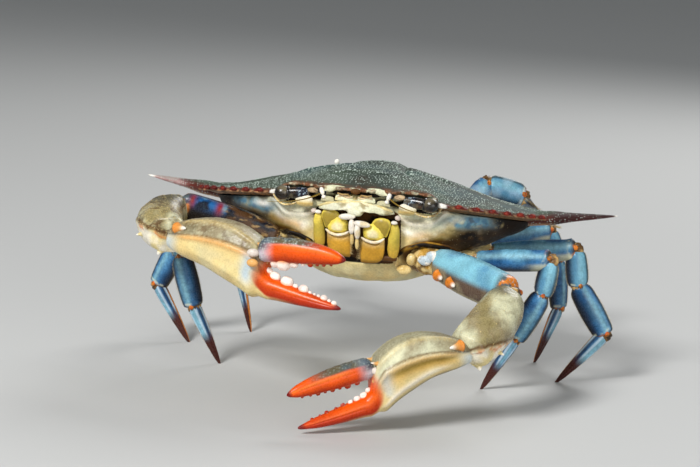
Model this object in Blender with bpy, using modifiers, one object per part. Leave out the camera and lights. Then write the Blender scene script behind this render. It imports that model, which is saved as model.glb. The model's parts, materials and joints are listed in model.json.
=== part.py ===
"""Blue swimming crab, a grown female at life size, standing on the tips of its walking legs.

The crab is laid out in millimetres about the middle of its shell, at the height of its eyes:
+X is the crab's left, -Y its front and +Z up. Every shell plate and limb segment is a closed
solid of its own, a small gap from the next. At the end the crab is moved so that the origin
lies on the ground, under the middle of its box."""

import math

import bmesh
import bpy
from mathutils import Matrix, Vector

MM = 0.001
GAP = 0.3  # between two plates or segments
SOCKET_GAP = 0.38  # round a piece that is sunk into another
FLOOR = -58.0  # height of the ground below the eyes
TIP_SINK = 0.7  # how far the tip of a leg would reach into the ground if it weren't cut flat
SIDES = {"left": 1, "right": -1}
SEGMENTS = ("basis", "merus", "carpus", "propodus", "dactyl")
UP = Vector((0, 0, 1))

# Edge of the shell, from the middle of the front to the middle of the back: x, y and z
SPINE_SPAN = 150.0  # from tip to tip of the two long side spines
FRONT_EDGE = ((0, -30.2, 2.6), (4.4, -32.4, 2.8), (7.6, -30.8, 2.9), (11.4, -31.7, 2.8))
ORBIT_EDGE = ((13.6, -29.2, 2.7), (17.6, -27.8, 2.6), (21.6, -27.4, 2.2), (24.2, -27.9, 1.0))
FRONT_INSET, ORBIT_INSET = 1.2, 1.0  # from the edge back to the smooth edge behind its teeth
SMOOTH_FRONT_Y = -29.6  # furthest forward that the smooth edge comes
MARGIN_HALF_WIDTH = 58.5  # the toothed edge follows an ellipse with these two half axes
MARGIN_HALF_LENGTH = 32.8
TOOTH_COUNT = 8  # teeth between the eye and the long spine, the one beside the eye included
FIRST_TOOTH, LAST_TOOTH = 63.8, 21.5  # degrees round the ellipse
FIRST_TOOTH_Z, LAST_TOOTH_Z = -0.4, -4.0
NOTCH_SHARE, SMOOTH_SHARE = 0.95, 0.935  # of the ellipse's radius
NOTCH_PLACE = 0.72  # share of the way from one tooth to the next
SPINE_ROOT, SPINE_TIP = (47.0, -3.4, -6.2), (SPINE_SPAN / 2, -0.6, -3.3)
SPINE_HEIGHT, SPINE_WIDTH = 4.6, 12.0
SPINE_NOTCH, SPINE_NOTCH_SHARE = 7.0, 0.965  # the edge above the long spine, on the ellipse
SIDE_CORNER, HIND_CONTROL, HIND_CORNER = (56.2, 0.5), (45.0, 13.5), (23.0, 27.5)
HIND_EDGE = ((19.5, 30.4), (12.0, 31.5), (0, 31.9))
HIND_Z, HIND_SHARE = -4.4, 0.965
RIM = 0.9  # thickness of the shell at its edge
DOME_TOP, DOME_UNDERSIDE = 7.2, -4.5
DOME_RINGS = (0.3, 0.55, 0.75, 0.9, 1.0)  # shares of the way from the middle to the edge
FORWARD_POWER, SIDEWAYS_POWER = 2.0, 1.6  # of the dome's fall to its edge

# Body below the shell: share of the way down, then the shrink of the outline sideways, in
# front and behind
BODY_BOTTOM = -27.3
BODY_RINGS = (
    (0.00, 0.94, 0.975, 0.93),
    (0.10, 0.93, 0.980, 0.90),
    (0.28, 0.80, 0.970, 0.84),
    (0.46, 0.66, 0.945, 0.76),
    (0.64, 0.50, 0.910, 0.68),
    (0.79, 0.42, 0.850, 0.60),
    (0.92, 0.36, 0.750, 0.52),
    (1.00, 0.29, 0.620, 0.42),
)
ORBIT_CENTRE, ORBIT_RADII = (19.4, -31.0, -0.9), (6.4, 4.6, 2.9)
MOUTH_CENTRE, MOUTH_SIZE, MOUTH_ROUNDING = (0.0, -29.7, -11.9), (27.6, 6.0, 17.6), 0.8
MOUTH_TILT = 12.0  # degrees that the mouthparts lean back at the bottom
SEAM_HEIGHTS = {"left": -12.9, "right": -11.6}  # seam between the two plates of a jaw foot
SEAM_Y = -28.6
OUTER_BRANCH_LEAN = 3.0  # degrees

# Apron under the body, from the hind edge to its tip: y, z and half width
APRON = ((26.5, -8.0, 10.5), (24.6, -13.0, 11.8), (21.5, -19.0, 13.2), (17.0, -24.0, 15.4),
         (11.0, -27.2, 16.4), (3.5, -27.9, 14.2), (-4.0, -27.9, 8.4), (-10.0, -27.7, 2.2))
APRON_COLUMNS = (-1.0, -0.7, -0.35, 0.0, 0.35, 0.7, 1.0)  # shares of the half width
APRON_FLAT_Z = -26.0  # below this the apron lies flat under the body
APRON_THICKNESS, APRON_CURL = 1.5, 1.6  # the curl lifts its edges towards the body

# Profiles of limb segments: share of the length, then of the height and of the thickness
PEG = ((0.0, 0.85, 0.85), (0.5, 1.0, 1.0), (1.0, 0.84, 0.84))
THIGH = ((0.0, 0.62, 0.66), (0.14, 0.86, 0.88), (0.5, 1.0, 1.0), (0.86, 0.94, 0.98), (1.0, 0.74, 0.78))
WRIST = ((0.0, 0.58, 0.62), (0.24, 0.92, 0.94), (0.6, 1.0, 1.0), (0.9, 0.92, 0.9), (1.0, 0.74, 0.72))
SHIN = ((0.0, 0.6, 0.66), (0.2, 0.93, 0.95), (0.5, 1.0, 1.0), (0.86, 0.9, 0.86), (1.0, 0.68, 0.68))
POINT = ((0.0, 0.74, 0.8), (0.12, 1.0, 1.0), (0.45, 0.8, 0.78), (0.8, 0.44, 0.48), (1.0, 0.18, 0.24))
PADDLE = ((0.0, 0.3, 0.9), (0.12, 0.62, 1.0), (0.4, 1.0, 0.9), (0.66, 0.95, 0.75),
          (0.88, 0.6, 0.55), (1.0, 0.18, 0.4))
SPINE = ((0.0, 0.9, 1.0), (0.27, 0.9, 0.86), (0.5, 0.6, 0.5), (0.8, 0.3, 0.24), (1.0, 0.1, 0.08))
EYE = ((0.0, 0.5, 0.5), (0.3, 0.6, 0.6), (0.48, 0.64, 0.64), (0.6, 0.96, 0.96), (0.78, 1.0, 1.0),
       (0.93, 0.7, 0.7), (1.0, 0.22, 0.22))
THUMB = ((0.0, 0.7, 0.8), (0.1, 0.98, 1.0), (0.35, 1.0, 0.95), (0.65, 0.84, 0.76),
         (0.88, 0.54, 0.5), (1.0, 0.14, 0.16))
# The palm and the finger that grows from it also have how far their middle is above the line
PALM = ((0.0, 0.36, 0.5, 0.0), (0.05, 0.54, 0.68, 0.0), (0.12, 0.72, 0.82, 0.0),
        (0.24, 0.89, 0.95, 0.02), (0.38, 1.0, 1.0, 0.0), (0.48, 0.97, 0.92, -0.03),
        (0.535, 0.82, 0.8, -0.18), (0.58, 0.46, 0.56, -0.34), (0.66, 0.36, 0.46, -0.28),
        (0.78, 0.28, 0.36, -0.2), (0.9, 0.19, 0.25, -0.1), (1.0, 0.05, 0.07, 0.0))
PALM_SHARE = 0.62  # share of the length that the palm takes

# Walking legs, front to back: socket in the body, heading in degrees ahead of straight out,
# and the slopes of the last three segments. The first two rise as much as it takes to put the
# tip on the ground.
WALKING_LEGS = {
    "leg_1": dict(socket=(19.5, -10.0, -20.5), scale=1.0, heading={"left": 14, "right": 20},
                  slopes={"left": (-100, -118, -120), "right": (-94, -106, -116)}),
    "leg_2": dict(socket=(20.5, 0.0, -20.5), scale=1.06, heading={"left": -7, "right": -8},
                  slopes={"left": (-82, -58, -130), "right": (-72, -64, -124)}),
    "leg_3": dict(socket=(19.0, 9.5, -19.5), scale=0.96, heading={"left": -33, "right": -36},
                  slopes={"left": (-70, -84, -112), "right": (-74, -86, -112)}),
}
LEG_PROFILES = dict(basis=PEG, merus=THIGH, carpus=WRIST, propodus=SHIN, dactyl=POINT)
LEG_LENGTHS = dict(basis=15.5, merus=24.5, carpus=10.5, propodus=16.5, dactyl=21.0)
LEG_HEIGHTS = dict(basis=7.0, merus=7.2, carpus=6.2, propodus=6.8, dactyl=4.2)
LEG_THICKNESSES = dict(basis=5.6, merus=4.2, carpus=4.4, propodus=3.8, dactyl=2.8)

# Swimming legs: their joints, and the height and thickness of their segments
SWIM_JOINTS = {
    "left": ((15.5, 18.5, -12.8), (22.0, 29.5, -13.0), (28.3, 37.5, -2.6), (39.6, 41.8, -6.0),
             (41.5, 54.0, -12.5), (44.5, 73.5, -18.0)),
    "right": ((15.5, 18.5, -12.8), (22.0, 29.5, -13.0), (32.0, 37.5, -10.5), (39.8, 41.5, -12.5),
              (46.0, 53.0, -17.0), (54.5, 74.0, -20.5)),
}
SWIM_PROFILES = dict(LEG_PROFILES, dactyl=PADDLE)
SWIM_HEIGHTS = dict(basis=7.6, merus=9.4, carpus=8.4, propodus=9.6, dactyl=14.5)
SWIM_THICKNESSES = dict(basis=6.0, merus=5.0, carpus=4.4, propodus=3.2, dactyl=1.7)
PADDLE_UP = (-0.8, 0.35, 0.35)  # direction of the paddle's width

# Claws: joints of the arm, hinge of the movable finger, and tips of the fixed finger and of
# the movable one. The right claw, the heavier, is folded across the mouth, and the left one
# reaches down in front.
CLAWS = {
    "right": dict(socket=(15.0, -17.8, -18.0), elbow=(25.0, -25.5, -16.6),
                  wrist=(54.2, -31.8, -8.0), palm=(50.3, -49.0, -13.6),
                  hinge=(21.5, -59.0, -14.6), finger=(-4.6, -62.5, -27.6),
                  thumb=(-5.4, -63.0, -13.4), palm_up=(0.0, 0.10, 1.0)),
    "left": dict(socket=(15.0, -17.8, -18.0), elbow=(25.0, -24.0, -18.6),
                 wrist=(50.2, -46.0, -22.2), palm=(41.5, -63.5, -36.0),
                 hinge=(18.6, -77.5, -40.6), finger=(0.6, -89.5, -56.2),
                 thumb=(-2.6, -91.0, -47.0), palm_up=(-0.1, -0.05, 1.0)),
}
ARM_PROFILES = dict(basis=PEG, merus=THIGH, carpus=WRIST)
ARM_HEIGHTS = dict(basis=9.0, merus=12.0, carpus=13.8)
ARM_THICKNESSES = dict(basis=7.6, merus=8.8, carpus=13.2)
ARM_UPS = dict(basis=(0.2, 0.0, 1.0), merus=(0.2, 0.0, 1.0), carpus=(1.0, 0.1, 0.0))
WRIST_BOWS = {"right": 4.8, "left": 1.0}  # how far the wrist segment bows outwards
# Height, thickness and how far the middle bows up
PALM_SIZES = {"right": (16.8, 12.6, 3.1), "left": (15.2, 11.4, 4.6)}
THUMB_SIZES = {"right": (7.2, 6.2, 0.9), "left": (6.2, 5.2, 0.4)}
HINGE_RISE = 1.2  # from the hinge up to the middle of the movable finger's root

EYE_INNER, EYE_OUTER = (14.4, -29.2, -0.2), (24.7, -30.6, -0.9)
EYE_HEIGHT, EYE_THICKNESS = 4.7, 4.5
FEELER_START, FEELER_BEND, FEELER_END = (10.4, -30.9, 0.4), (15.0, -35.6, -2.6), (26.0, -35.2, -3.0)
FEELER_RADIUS = 0.36
FEELER_STEPS, FEELER_ROOT_STEPS = 8, 2

MATERIALS = {  # colour and roughness
    "carapace": ((0.13, 0.15, 0.12), 0.35),
    "underside": ((0.72, 0.66, 0.44), 0.4),
    "leg": ((0.10, 0.25, 0.42), 0.35),
    "arm": ((0.22, 0.46, 0.60), 0.35),
    "palm": ((0.62, 0.54, 0.34), 0.38),
    "finger": ((0.75, 0.13, 0.02), 0.3),
    "mouth": ((0.68, 0.50, 0.14), 0.4),
    "eye": ((0.02, 0.02, 0.02), 0.1),
    "feeler": ((0.45, 0.33, 0.16), 0.45),
}
LEG_SLOTS = dict.fromkeys(SEGMENTS, "leg") | {"basis": "underside"}
ARM_SLOTS = dict(basis="underside", merus="arm", carpus="palm")


# ---- Helpers ---------------------------------------------------------------------------------


def mirrored(point, side):
    """Point given for the left side, on the side asked for."""
    return Vector((side * point[0], point[1], point[2]))


def curve_point(start, control, end, t):
    """Point of a quadratic Bezier curve."""
    return tuple((1 - t) ** 2 * a + 2 * t * (1 - t) * b + t * t * c for a, b, c in zip(start, control, end))


def gather(name):
    made = bpy.data.collections.new(name)
    bpy.context.scene.collection.children.link(made)
    return made


def make_material(name, colour, roughness):
    made = bpy.data.materials.new(name)
    made.use_nodes = True
    shader = made.node_tree.nodes["Principled BSDF"]
    shader.inputs["Base Color"].default_value = (*colour, 1)
    shader.inputs["Roughness"].default_value = roughness
    shader.inputs["Metallic"].default_value = 0.0
    return made


def add_object(name, data, slot, collection):
    """Object with its own material, fastened to the empty that carries the crab."""
    made = bpy.data.objects.new(name, data)
    data.materials.append(make_material(name, *MATERIALS[slot]))
    made.parent = bpy.data.objects["crab"]
    collection.objects.link(made)
    return made


def object_of(bm, name, slot, collection):
    """The bmesh, laid out in millimetres, as an object with its faces turned out."""
    bmesh.ops.remove_doubles(bm, verts=bm.verts, dist=1e-4)
    bmesh.ops.recalc_face_normals(bm, faces=bm.faces)
    bm.transform(Matrix.Scale(MM, 4))
    mesh = bpy.data.meshes.new(name)
    bm.to_mesh(mesh)
    bm.free()
    mesh.shade_smooth()
    mesh.set_sharp_from_angle(angle=math.radians(40))
    return add_object(name, mesh, slot, collection)


def helper_of(bm, name, collection):
    made = object_of(bm, name, "underside", collection)
    made.hide_render = True
    made.display_type = "WIRE"
    return made


def skin_rings(rings):
    """Joins rings of points with faces. A ring of one point makes a closed tip."""
    bm = bmesh.new()
    made = [[bm.verts.new(point) for point in ring] for ring in rings]
    for low, high in zip(made, made[1:]):
        count = max(len(low), len(high))
        for i in range(count):
            j = (i + 1) % count
            corners = (low[i % len(low)], low[j % len(low)], high[j % len(high)], high[i % len(high)])
            bm.faces.new(dict.fromkeys(corners))
    for ring in (made[0], made[-1]):
        if len(ring) > 2:
            bm.faces.new(ring)
    return bm


def frame_of(axis, up):
    """Unit vectors along the axis, upwards and sideways."""
    along = axis.normalized()
    upward = (up - up.dot(along) * along).normalized()
    return along, upward, along.cross(upward)


def oval(centre, upward, sideways, half_height, half_width, sides, squareness):
    """Closed ring. A squareness under 1 fills out its corners."""
    ring = []
    for i in range(sides):
        angle = 2 * math.pi * (i + 0.5) / sides
        c, s = math.cos(angle), math.sin(angle)
        across = half_width * math.copysign(abs(c) ** squareness, c)
        above = half_height * math.copysign(abs(s) ** squareness, s)
        ring.append(centre + sideways * across + upward * above)
    return ring


def segment(start, end, up, profile, height, thickness, sides=8, squareness=0.86, bow=0.0):
    """Limb segment, with its middle lifted by bow along up."""
    _, upward, sideways = frame_of(end - start, up)
    rings = []
    for share, high, wide in profile:
        centre = start.lerp(end, share) + upward * (4 * bow * share * (1 - share))
        half_height, half_width = high * height / 2, wide * thickness / 2
        rings.append(oval(centre, upward, sideways, half_height, half_width, sides, squareness))
    return skin_rings(rings)


def trim(bm, point, normal):
    """Cuts away what lies past the plane, and closes the cut."""
    everything = bm.verts[:] + bm.edges[:] + bm.faces[:]
    bmesh.ops.bisect_plane(bm, geom=everything, plane_co=point, plane_no=normal, clear_outer=True)
    open_edges = [edge for edge in bm.edges if edge.is_boundary]
    bmesh.ops.holes_fill(bm, edges=open_edges, sides=0)


def trim_at_joint(bm, joint, before, after, side):
    """Cuts a segment half a gap from the plane that halves the bend. side is 1 on the segment
    before the joint and -1 on the one after it."""
    normal = side * (before.normalized() + after.normalized()).normalized()
    trim(bm, joint - normal * GAP / 2, normal)


def ellipsoid(centre, radii):
    bm = bmesh.new()
    bmesh.ops.create_uvsphere(bm, u_segments=8, v_segments=6, radius=1.0)
    bm.transform(Matrix.LocRotScale(centre, None, Vector(radii)))
    return bm


def rounded_box(centre, size, turn, rounding):
    bm = bmesh.new()
    bmesh.ops.create_cube(bm, size=1.0)
    bm.transform(Matrix.Diagonal((*size, 1)))
    bmesh.ops.bevel(bm, geom=bm.edges[:], offset=rounding, segments=2, affect="EDGES", profile=0.5)
    bm.transform(Matrix.Translation(centre) @ turn.to_4x4())
    return bm


def add_boolean(target, tool, operation):
    made = target.modifiers.new(tool.name, "BOOLEAN")
    made.operation = operation
    made.solver = "EXACT"
    made.object = tool


def join_to(target, additions, helpers):
    """Joins closed shapes onto an object. Returns the shapes as objects."""
    tools = [helper_of(bm, f"{target.name}_add_{i}", helpers) for i, bm in enumerate(additions)]
    for tool in tools:
        add_boolean(target, tool, "UNION")
    return tools


def cut_socket(target, piece, helpers):
    """Takes the piece, grown by the gap, out of the target."""
    graph = bpy.context.evaluated_depsgraph_get()
    mesh = bpy.data.meshes.new_from_object(piece.evaluated_get(graph))
    bm = bmesh.new()
    bm.from_mesh(mesh)
    bpy.data.meshes.remove(mesh)
    bm.transform(Matrix.Scale(1 / MM, 4))
    bmesh.ops.remove_doubles(bm, verts=bm.verts, dist=1e-3)
    bm.normal_update()
    grown = [vert.co + vert.normal * SOCKET_GAP for vert in bm.verts]
    for vert, place in zip(bm.verts, grown):
        vert.co = place
    add_boolean(target, helper_of(bm, f"{target.name}_less_{piece.name}", helpers), "DIFFERENCE")


# ---- Shell and body --------------------------------------------------------------------------


def on_margin(degrees, share=1.0):
    """Point of the ellipse of the toothed edge, with the angle counted from the crab's side."""
    angle = math.radians(degrees)
    return (share * MARGIN_HALF_WIDTH * math.cos(angle), -share * MARGIN_HALF_LENGTH * math.sin(angle))


def left_outline():
    """Edge of the shell on the left, from front to back: the toothed edge, the smooth edge
    behind the teeth, and the height."""
    points = []
    for x, y, z in FRONT_EDGE:
        points.append(((x, y), (x, max(y + FRONT_INSET, SMOOTH_FRONT_Y)), z))
    for x, y, z in ORBIT_EDGE:
        points.append(((x, y), (x, y + ORBIT_INSET), z))
    step = (FIRST_TOOTH - LAST_TOOTH) / (TOOTH_COUNT - 1)
    for i in range(TOOTH_COUNT):
        z = FIRST_TOOTH_Z + (LAST_TOOTH_Z - FIRST_TOOTH_Z) * i / (TOOTH_COUNT - 1)
        tooth = FIRST_TOOTH - i * step
        notch = tooth - NOTCH_PLACE * step
        points.append((on_margin(tooth), on_margin(tooth, SMOOTH_SHARE), z))
        points.append((on_margin(notch, NOTCH_SHARE), on_margin(notch, SMOOTH_SHARE), z))
    hind_curve = [curve_point(SIDE_CORNER, HIND_CONTROL, HIND_CORNER, i / 6) for i in range(7)]
    for x, y in (on_margin(SPINE_NOTCH, SPINE_NOTCH_SHARE), *hind_curve, *HIND_EDGE):
        points.append(((x, y), (HIND_SHARE * x, HIND_SHARE * y), HIND_Z))
    return points


def full_outline():
    left = left_outline()
    right = [((-outer[0], outer[1]), (-inner[0], inner[1]), z) for outer, inner, z in left[-2:0:-1]]
    return left + right


def dome_height(x, y, edge, share):
    """Height of the shell's upper side at a share of the way from its middle to its edge. It falls
    late towards the front and back, and early towards the flat sides."""
    sideways = abs(x) / (abs(x) + abs(y))
    forward_fall = share ** FORWARD_POWER
    sideways_fall = 1 - (1 - share ** SIDEWAYS_POWER) ** 2
    return DOME_TOP + (edge - DOME_TOP) * (forward_fall + sideways * (sideways_fall - forward_fall))


def underside_height(edge, share):
    """Height of the shell's lower side."""
    return DOME_UNDERSIDE + (edge - 2 * RIM - DOME_UNDERSIDE) * share


def make_carapace(parts, helpers):
    """Domed upper shell with its toothed front edge. Returns the shapes of the side spines."""
    outline = full_outline()
    rings = [[Vector((0, 0, DOME_TOP))]]
    for share in DOME_RINGS:
        rings.append([Vector((x * share, y * share, dome_height(x, y, z, share)))
                      for _, (x, y), z in outline])
    for drop in (0.3 * RIM, RIM):
        rings.append([Vector((x, y, z - drop)) for (x, y), _, z in outline])
    for share in (0.97, 0.5):
        rings.append([Vector((x * share, y * share, underside_height(z, share)))
                      for _, (x, y), z in outline])
    rings.append([Vector((0, 0, DOME_UNDERSIDE))])
    shell = object_of(skin_rings(rings), "carapace", "carapace", parts)
    spines = []
    for side in SIDES.values():
        root, tip = mirrored(SPINE_ROOT, side), mirrored(SPINE_TIP, side)
        spines.append(segment(root, tip, UP, SPINE, SPINE_HEIGHT, SPINE_WIDTH, squareness=1.0))
    return join_to(shell, spines, helpers)


def make_thorax(parts, helpers):
    """Everything below the shell: the face with the eye sockets and the frame of the mouth, the
    sloping flanks and the breastplate."""
    outline = full_outline()[::2]
    rings = [[Vector((0, 0, DOME_UNDERSIDE - GAP))]]
    rings.append([Vector((x * 0.5, y * 0.5, underside_height(z, 0.5) - GAP)) for _, (x, y), z in outline])
    for down, across, ahead, behind in BODY_RINGS:
        ring = []
        for _, (x, y), z in outline:
            upper = underside_height(z, across if down == 0 else 1.0) - GAP
            lengthways = ahead if y < 0 else behind
            ring.append(Vector((x * across, y * lengthways, upper + (BODY_BOTTOM - upper) * down)))
        rings.append(ring)
    rings.append([Vector((0, 0, BODY_BOTTOM - GAP))])
    trunk = object_of(skin_rings(rings), "thorax", "underside", parts)
    for side_name, side in SIDES.items():
        orbit = ellipsoid(mirrored(ORBIT_CENTRE, side), ORBIT_RADII)
        add_boolean(trunk, helper_of(orbit, f"orbit_{side_name}", helpers), "DIFFERENCE")
    tilt = Matrix.Rotation(math.radians(MOUTH_TILT), 3, "X")
    mouth = rounded_box(Vector(MOUTH_CENTRE), MOUTH_SIZE, tilt, MOUTH_ROUNDING)
    add_boolean(trunk, helper_of(mouth, "mouth_frame", helpers), "DIFFERENCE")
    return trunk


def make_abdomen(parts):
    """Broad rounded apron of a grown female, folded under the body from its hind edge."""
    bm = bmesh.new()
    grid = []
    for y, z, half_width in APRON:
        outward = Vector((0, y, 0.6 * z + 9.6)).normalized() if z > APRON_FLAT_Z else -UP
        row = [Vector((u * half_width, y, z)) - outward * (APRON_CURL * u * u) for u in APRON_COLUMNS]
        grid.append([bm.verts.new(point) for point in row])
    for low, high in zip(grid, grid[1:]):
        for i in range(len(APRON_COLUMNS) - 1):
            bm.faces.new((low[i], low[i + 1], high[i + 1], high[i]))
    made = object_of(bm, "abdomen", "underside", parts)
    solid = made.modifiers.new("thickness", "SOLIDIFY")
    solid.thickness = APRON_THICKNESS * MM
    solid.offset = 0.0
    return made


# ---- Head ------------------------------------------------------------------------------------


def make_eye(side_name, side, parts):
    """Short stalk lying out along the socket, with the dark bulb of the eye on its end."""
    inner, outer = mirrored(EYE_INNER, side), mirrored(EYE_OUTER, side)
    bm = segment(inner, outer, UP, EYE, EYE_HEIGHT, EYE_THICKNESS, sides=10, squareness=1.0)
    object_of(bm, f"eye_{side_name}", "eye", parts)


def make_antenna(side_name, side, parts):
    """Thick root and thin whip, from beside the front out under the eye."""
    name = f"antenna_{side_name}"
    curve = bpy.data.curves.new(name, "CURVE")
    curve.dimensions = "3D"
    spline = curve.splines.new("POLY")
    spline.points.add(FEELER_STEPS)
    for i, point in enumerate(spline.points):
        t = i / FEELER_STEPS
        x, y, z = curve_point(FEELER_START, FEELER_BEND, FEELER_END, t)
        point.co = (side * x * MM, y * MM, z * MM, 1)
        point.radius = 2.4 if i < FEELER_ROOT_STEPS else 1.3 - 0.45 * t
    curve.bevel_depth = FEELER_RADIUS * MM
    curve.bevel_resolution = 1
    curve.use_fill_caps = True
    add_object(name, curve, "feeler", parts)


def make_jaw_foot(side_name, side, parts, helpers):
    """Outer jaw foot: two broad plates beside the middle line, the hanging palp, and the narrow
    outer branch, all placed from the seam between the two plates."""
    tilt = Matrix.Rotation(math.radians(MOUTH_TILT), 3, "X")
    lean = Matrix.Rotation(math.radians(-OUTER_BRANCH_LEAN * side), 3, "Y")
    seam = Vector((0, SEAM_Y, SEAM_HEIGHTS[side_name]))

    def place(x, y, z):
        return seam + tilt @ Vector((side * x, y, z))

    lower_plate = rounded_box(place(5.5, 0, -3.1), (6.8, 3.0, 7.6), tilt, 0.8)
    upper_plate = rounded_box(place(6.2, -0.35, 3.1), (7.2, 2.8, 6.6), tilt, 1.1)
    foot = rounded_box(place(8.3, 0.6, -5.6), (8.4, 1.5, 1.7), tilt, 0.4)
    outer_branch = rounded_box(place(11.5, 0.25, -0.6), (2.8, 2.4, 11.8), tilt @ lean, 0.7)
    palp_root = ellipsoid(place(2.9, -1.5, 4.1), (2.6, 1.1, 1.1))
    palp = ellipsoid(place(1.45, -1.9, 0.7), (0.95, 0.95, 3.7))
    made = object_of(lower_plate, f"jaw_foot_{side_name}", "mouth", parts)
    join_to(made, (upper_plate, foot, outer_branch, palp_root, palp), helpers)


# ---- Limbs -----------------------------------------------------------------------------------


def make_chain(name, joints, ups, sizes, parts, floor=None):
    """Five segments between six joints, each cut where it meets its neighbours. sizes are the
    profiles, heights and thicknesses."""
    profiles, heights, thicknesses = sizes
    overrun = 0.8
    made = {}
    for i, part in enumerate(SEGMENTS):
        start, end = joints[i], joints[i + 1]
        axis = (end - start).normalized()
        begin = start - axis * overrun if i > 0 else start
        finish = end + axis * overrun if i < 4 else end
        bm = segment(begin, finish, ups[i], profiles[part], heights[part], thicknesses[part])
        if i > 0:
            trim_at_joint(bm, start, start - joints[i - 1], end - start, -1)
        if i < 4:
            trim_at_joint(bm, end, end - start, joints[i + 2] - end, 1)
        elif floor is not None:
            trim(bm, UP * floor, -UP)
        made[part] = object_of(bm, f"{name}_{part}", LEG_SLOTS[part], parts)
    return made


def leg_joints(leg, side_name, rise):
    """Joints of a walking leg whose first two segments slope up by rise degrees."""
    side = SIDES[side_name]
    heading = math.radians(leg["heading"][side_name])
    outward = Vector((side * math.cos(heading), -math.sin(heading), 0))
    points = [mirrored(leg["socket"], side)]
    for part, degrees in zip(SEGMENTS, (rise, rise, *leg["slopes"][side_name])):
        slope = math.radians(degrees)
        step = outward * math.cos(slope) + UP * math.sin(slope)
        points.append(points[-1] + step * LEG_LENGTHS[part] * leg["scale"])
    return points


def standing_joints(leg, side_name):
    """Joints of a walking leg with the rise that puts its tip on the ground, found by halving."""
    low, high = -30.0, 50.0
    for _ in range(40):
        rise = (low + high) / 2
        if leg_joints(leg, side_name, rise)[-1].z > FLOOR - TIP_SINK:
            high = rise
        else:
            low = rise
    return leg_joints(leg, side_name, low)


def make_walking_leg(name, side_name, parts):
    """One walking leg in an upright plane, with its tip cut flat on the ground."""
    leg = WALKING_LEGS[name]
    joints = standing_joints(leg, side_name)
    outward = (joints[-1] - joints[0]) * Vector((1, 1, 0))
    ups = []
    for start, end in zip(joints, joints[1:]):
        is_steep = abs((end - start).normalized().z) > 0.7
        ups.append(outward if is_steep else UP)
    heights = {part: size * leg["scale"] for part, size in LEG_HEIGHTS.items()}
    thicknesses = {part: size * leg["scale"] for part, size in LEG_THICKNESSES.items()}
    sizes = (LEG_PROFILES, heights, thicknesses)
    return make_chain(f"{name}_{side_name}", joints, ups, sizes, parts, FLOOR)


def make_swimming_leg(side_name, side, parts):
    """Hind leg, with its last two segments flattened into a paddle."""
    joints = [mirrored(point, side) for point in SWIM_JOINTS[side_name]]
    ups = [UP] * 3 + [mirrored(PADDLE_UP, side)] * 2
    sizes = (SWIM_PROFILES, SWIM_HEIGHTS, SWIM_THICKNESSES)
    return make_chain(f"swim_leg_{side_name}", joints, ups, sizes, parts)


def palm_and_finger(root, tip, up, height, thickness, bow):
    """Fixed half of the pincer: the swollen palm, whose lower side runs on into a finger."""
    _, upward, sideways = frame_of(tip - root, up)
    rings = []
    for share, high, wide, rise in PALM:
        lift = bow * math.sin(math.pi * min(1.0, share / PALM_SHARE)) + rise * height / 2
        centre = root.lerp(tip, share) + upward * lift
        half_height, half_width = high * height / 2, wide * thickness / 2
        rings.append(oval(centre, upward, sideways, half_height, half_width, 10, 0.84))
    return skin_rings(rings)


def make_claw(side_name, side, parts, helpers):
    """Arm, wrist, palm with its fixed finger, and the movable finger."""
    spec = {key: mirrored(point, side) for key, point in CLAWS[side_name].items()}
    joints = [spec["socket"], spec["elbow"], spec["wrist"], spec["palm"], spec["finger"]]
    made = {}
    for i, (part, slot) in enumerate(ARM_SLOTS.items()):
        start, end, after = joints[i], joints[i + 1], joints[i + 2]
        axis = (end - start).normalized()
        begin = start - axis if i else start
        up = mirrored(ARM_UPS[part], side)
        height, thickness = ARM_HEIGHTS[part], ARM_THICKNESSES[part]
        bow = WRIST_BOWS[side_name] if part == "carpus" else 0.0
        bm = segment(begin, end + axis, up, ARM_PROFILES[part], height, thickness, sides=10, bow=bow)
        if i:
            trim_at_joint(bm, start, start - joints[i - 1], end - start, -1)
        trim_at_joint(bm, end, end - start, after - end, 1)
        made[part] = object_of(bm, f"claw_{side_name}_{part}", slot, parts)
    axis = (spec["finger"] - spec["palm"]).normalized()
    bm = palm_and_finger(spec["palm"] - axis, spec["finger"], spec["palm_up"], *PALM_SIZES[side_name])
    trim_at_joint(bm, spec["palm"], spec["palm"] - spec["wrist"], axis, -1)
    palm = object_of(bm, f"claw_{side_name}_propodus", "palm", parts)
    upward = frame_of(axis, spec["palm_up"])[1]
    height, thickness, bow = THUMB_SIZES[side_name]
    root = spec["hinge"] + upward * HINGE_RISE
    bm = segment(root, spec["thumb"], upward, THUMB, height, thickness, bow=bow)
    thumb = object_of(bm, f"claw_{side_name}_dactyl", "finger", parts)
    cut_socket(palm, thumb, helpers)
    return made


# ---- Whole crab ------------------------------------------------------------------------------


def stand_on_ground(carrier, parts):
    """Moves the crab so that the origin is on the ground under the middle of its box."""
    graph = bpy.context.evaluated_depsgraph_get()
    corners = []
    for piece in parts.objects:
        mesh = piece.evaluated_get(graph).to_mesh()
        corners += [vert.co.copy() for vert in mesh.vertices]
    low = [min(corner[i] for corner in corners) for i in range(3)]
    high = [max(corner[i] for corner in corners) for i in range(3)]
    carrier.location = ((low[0] + high[0]) / -2, (low[1] + high[1]) / -2, -low[2])


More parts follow.
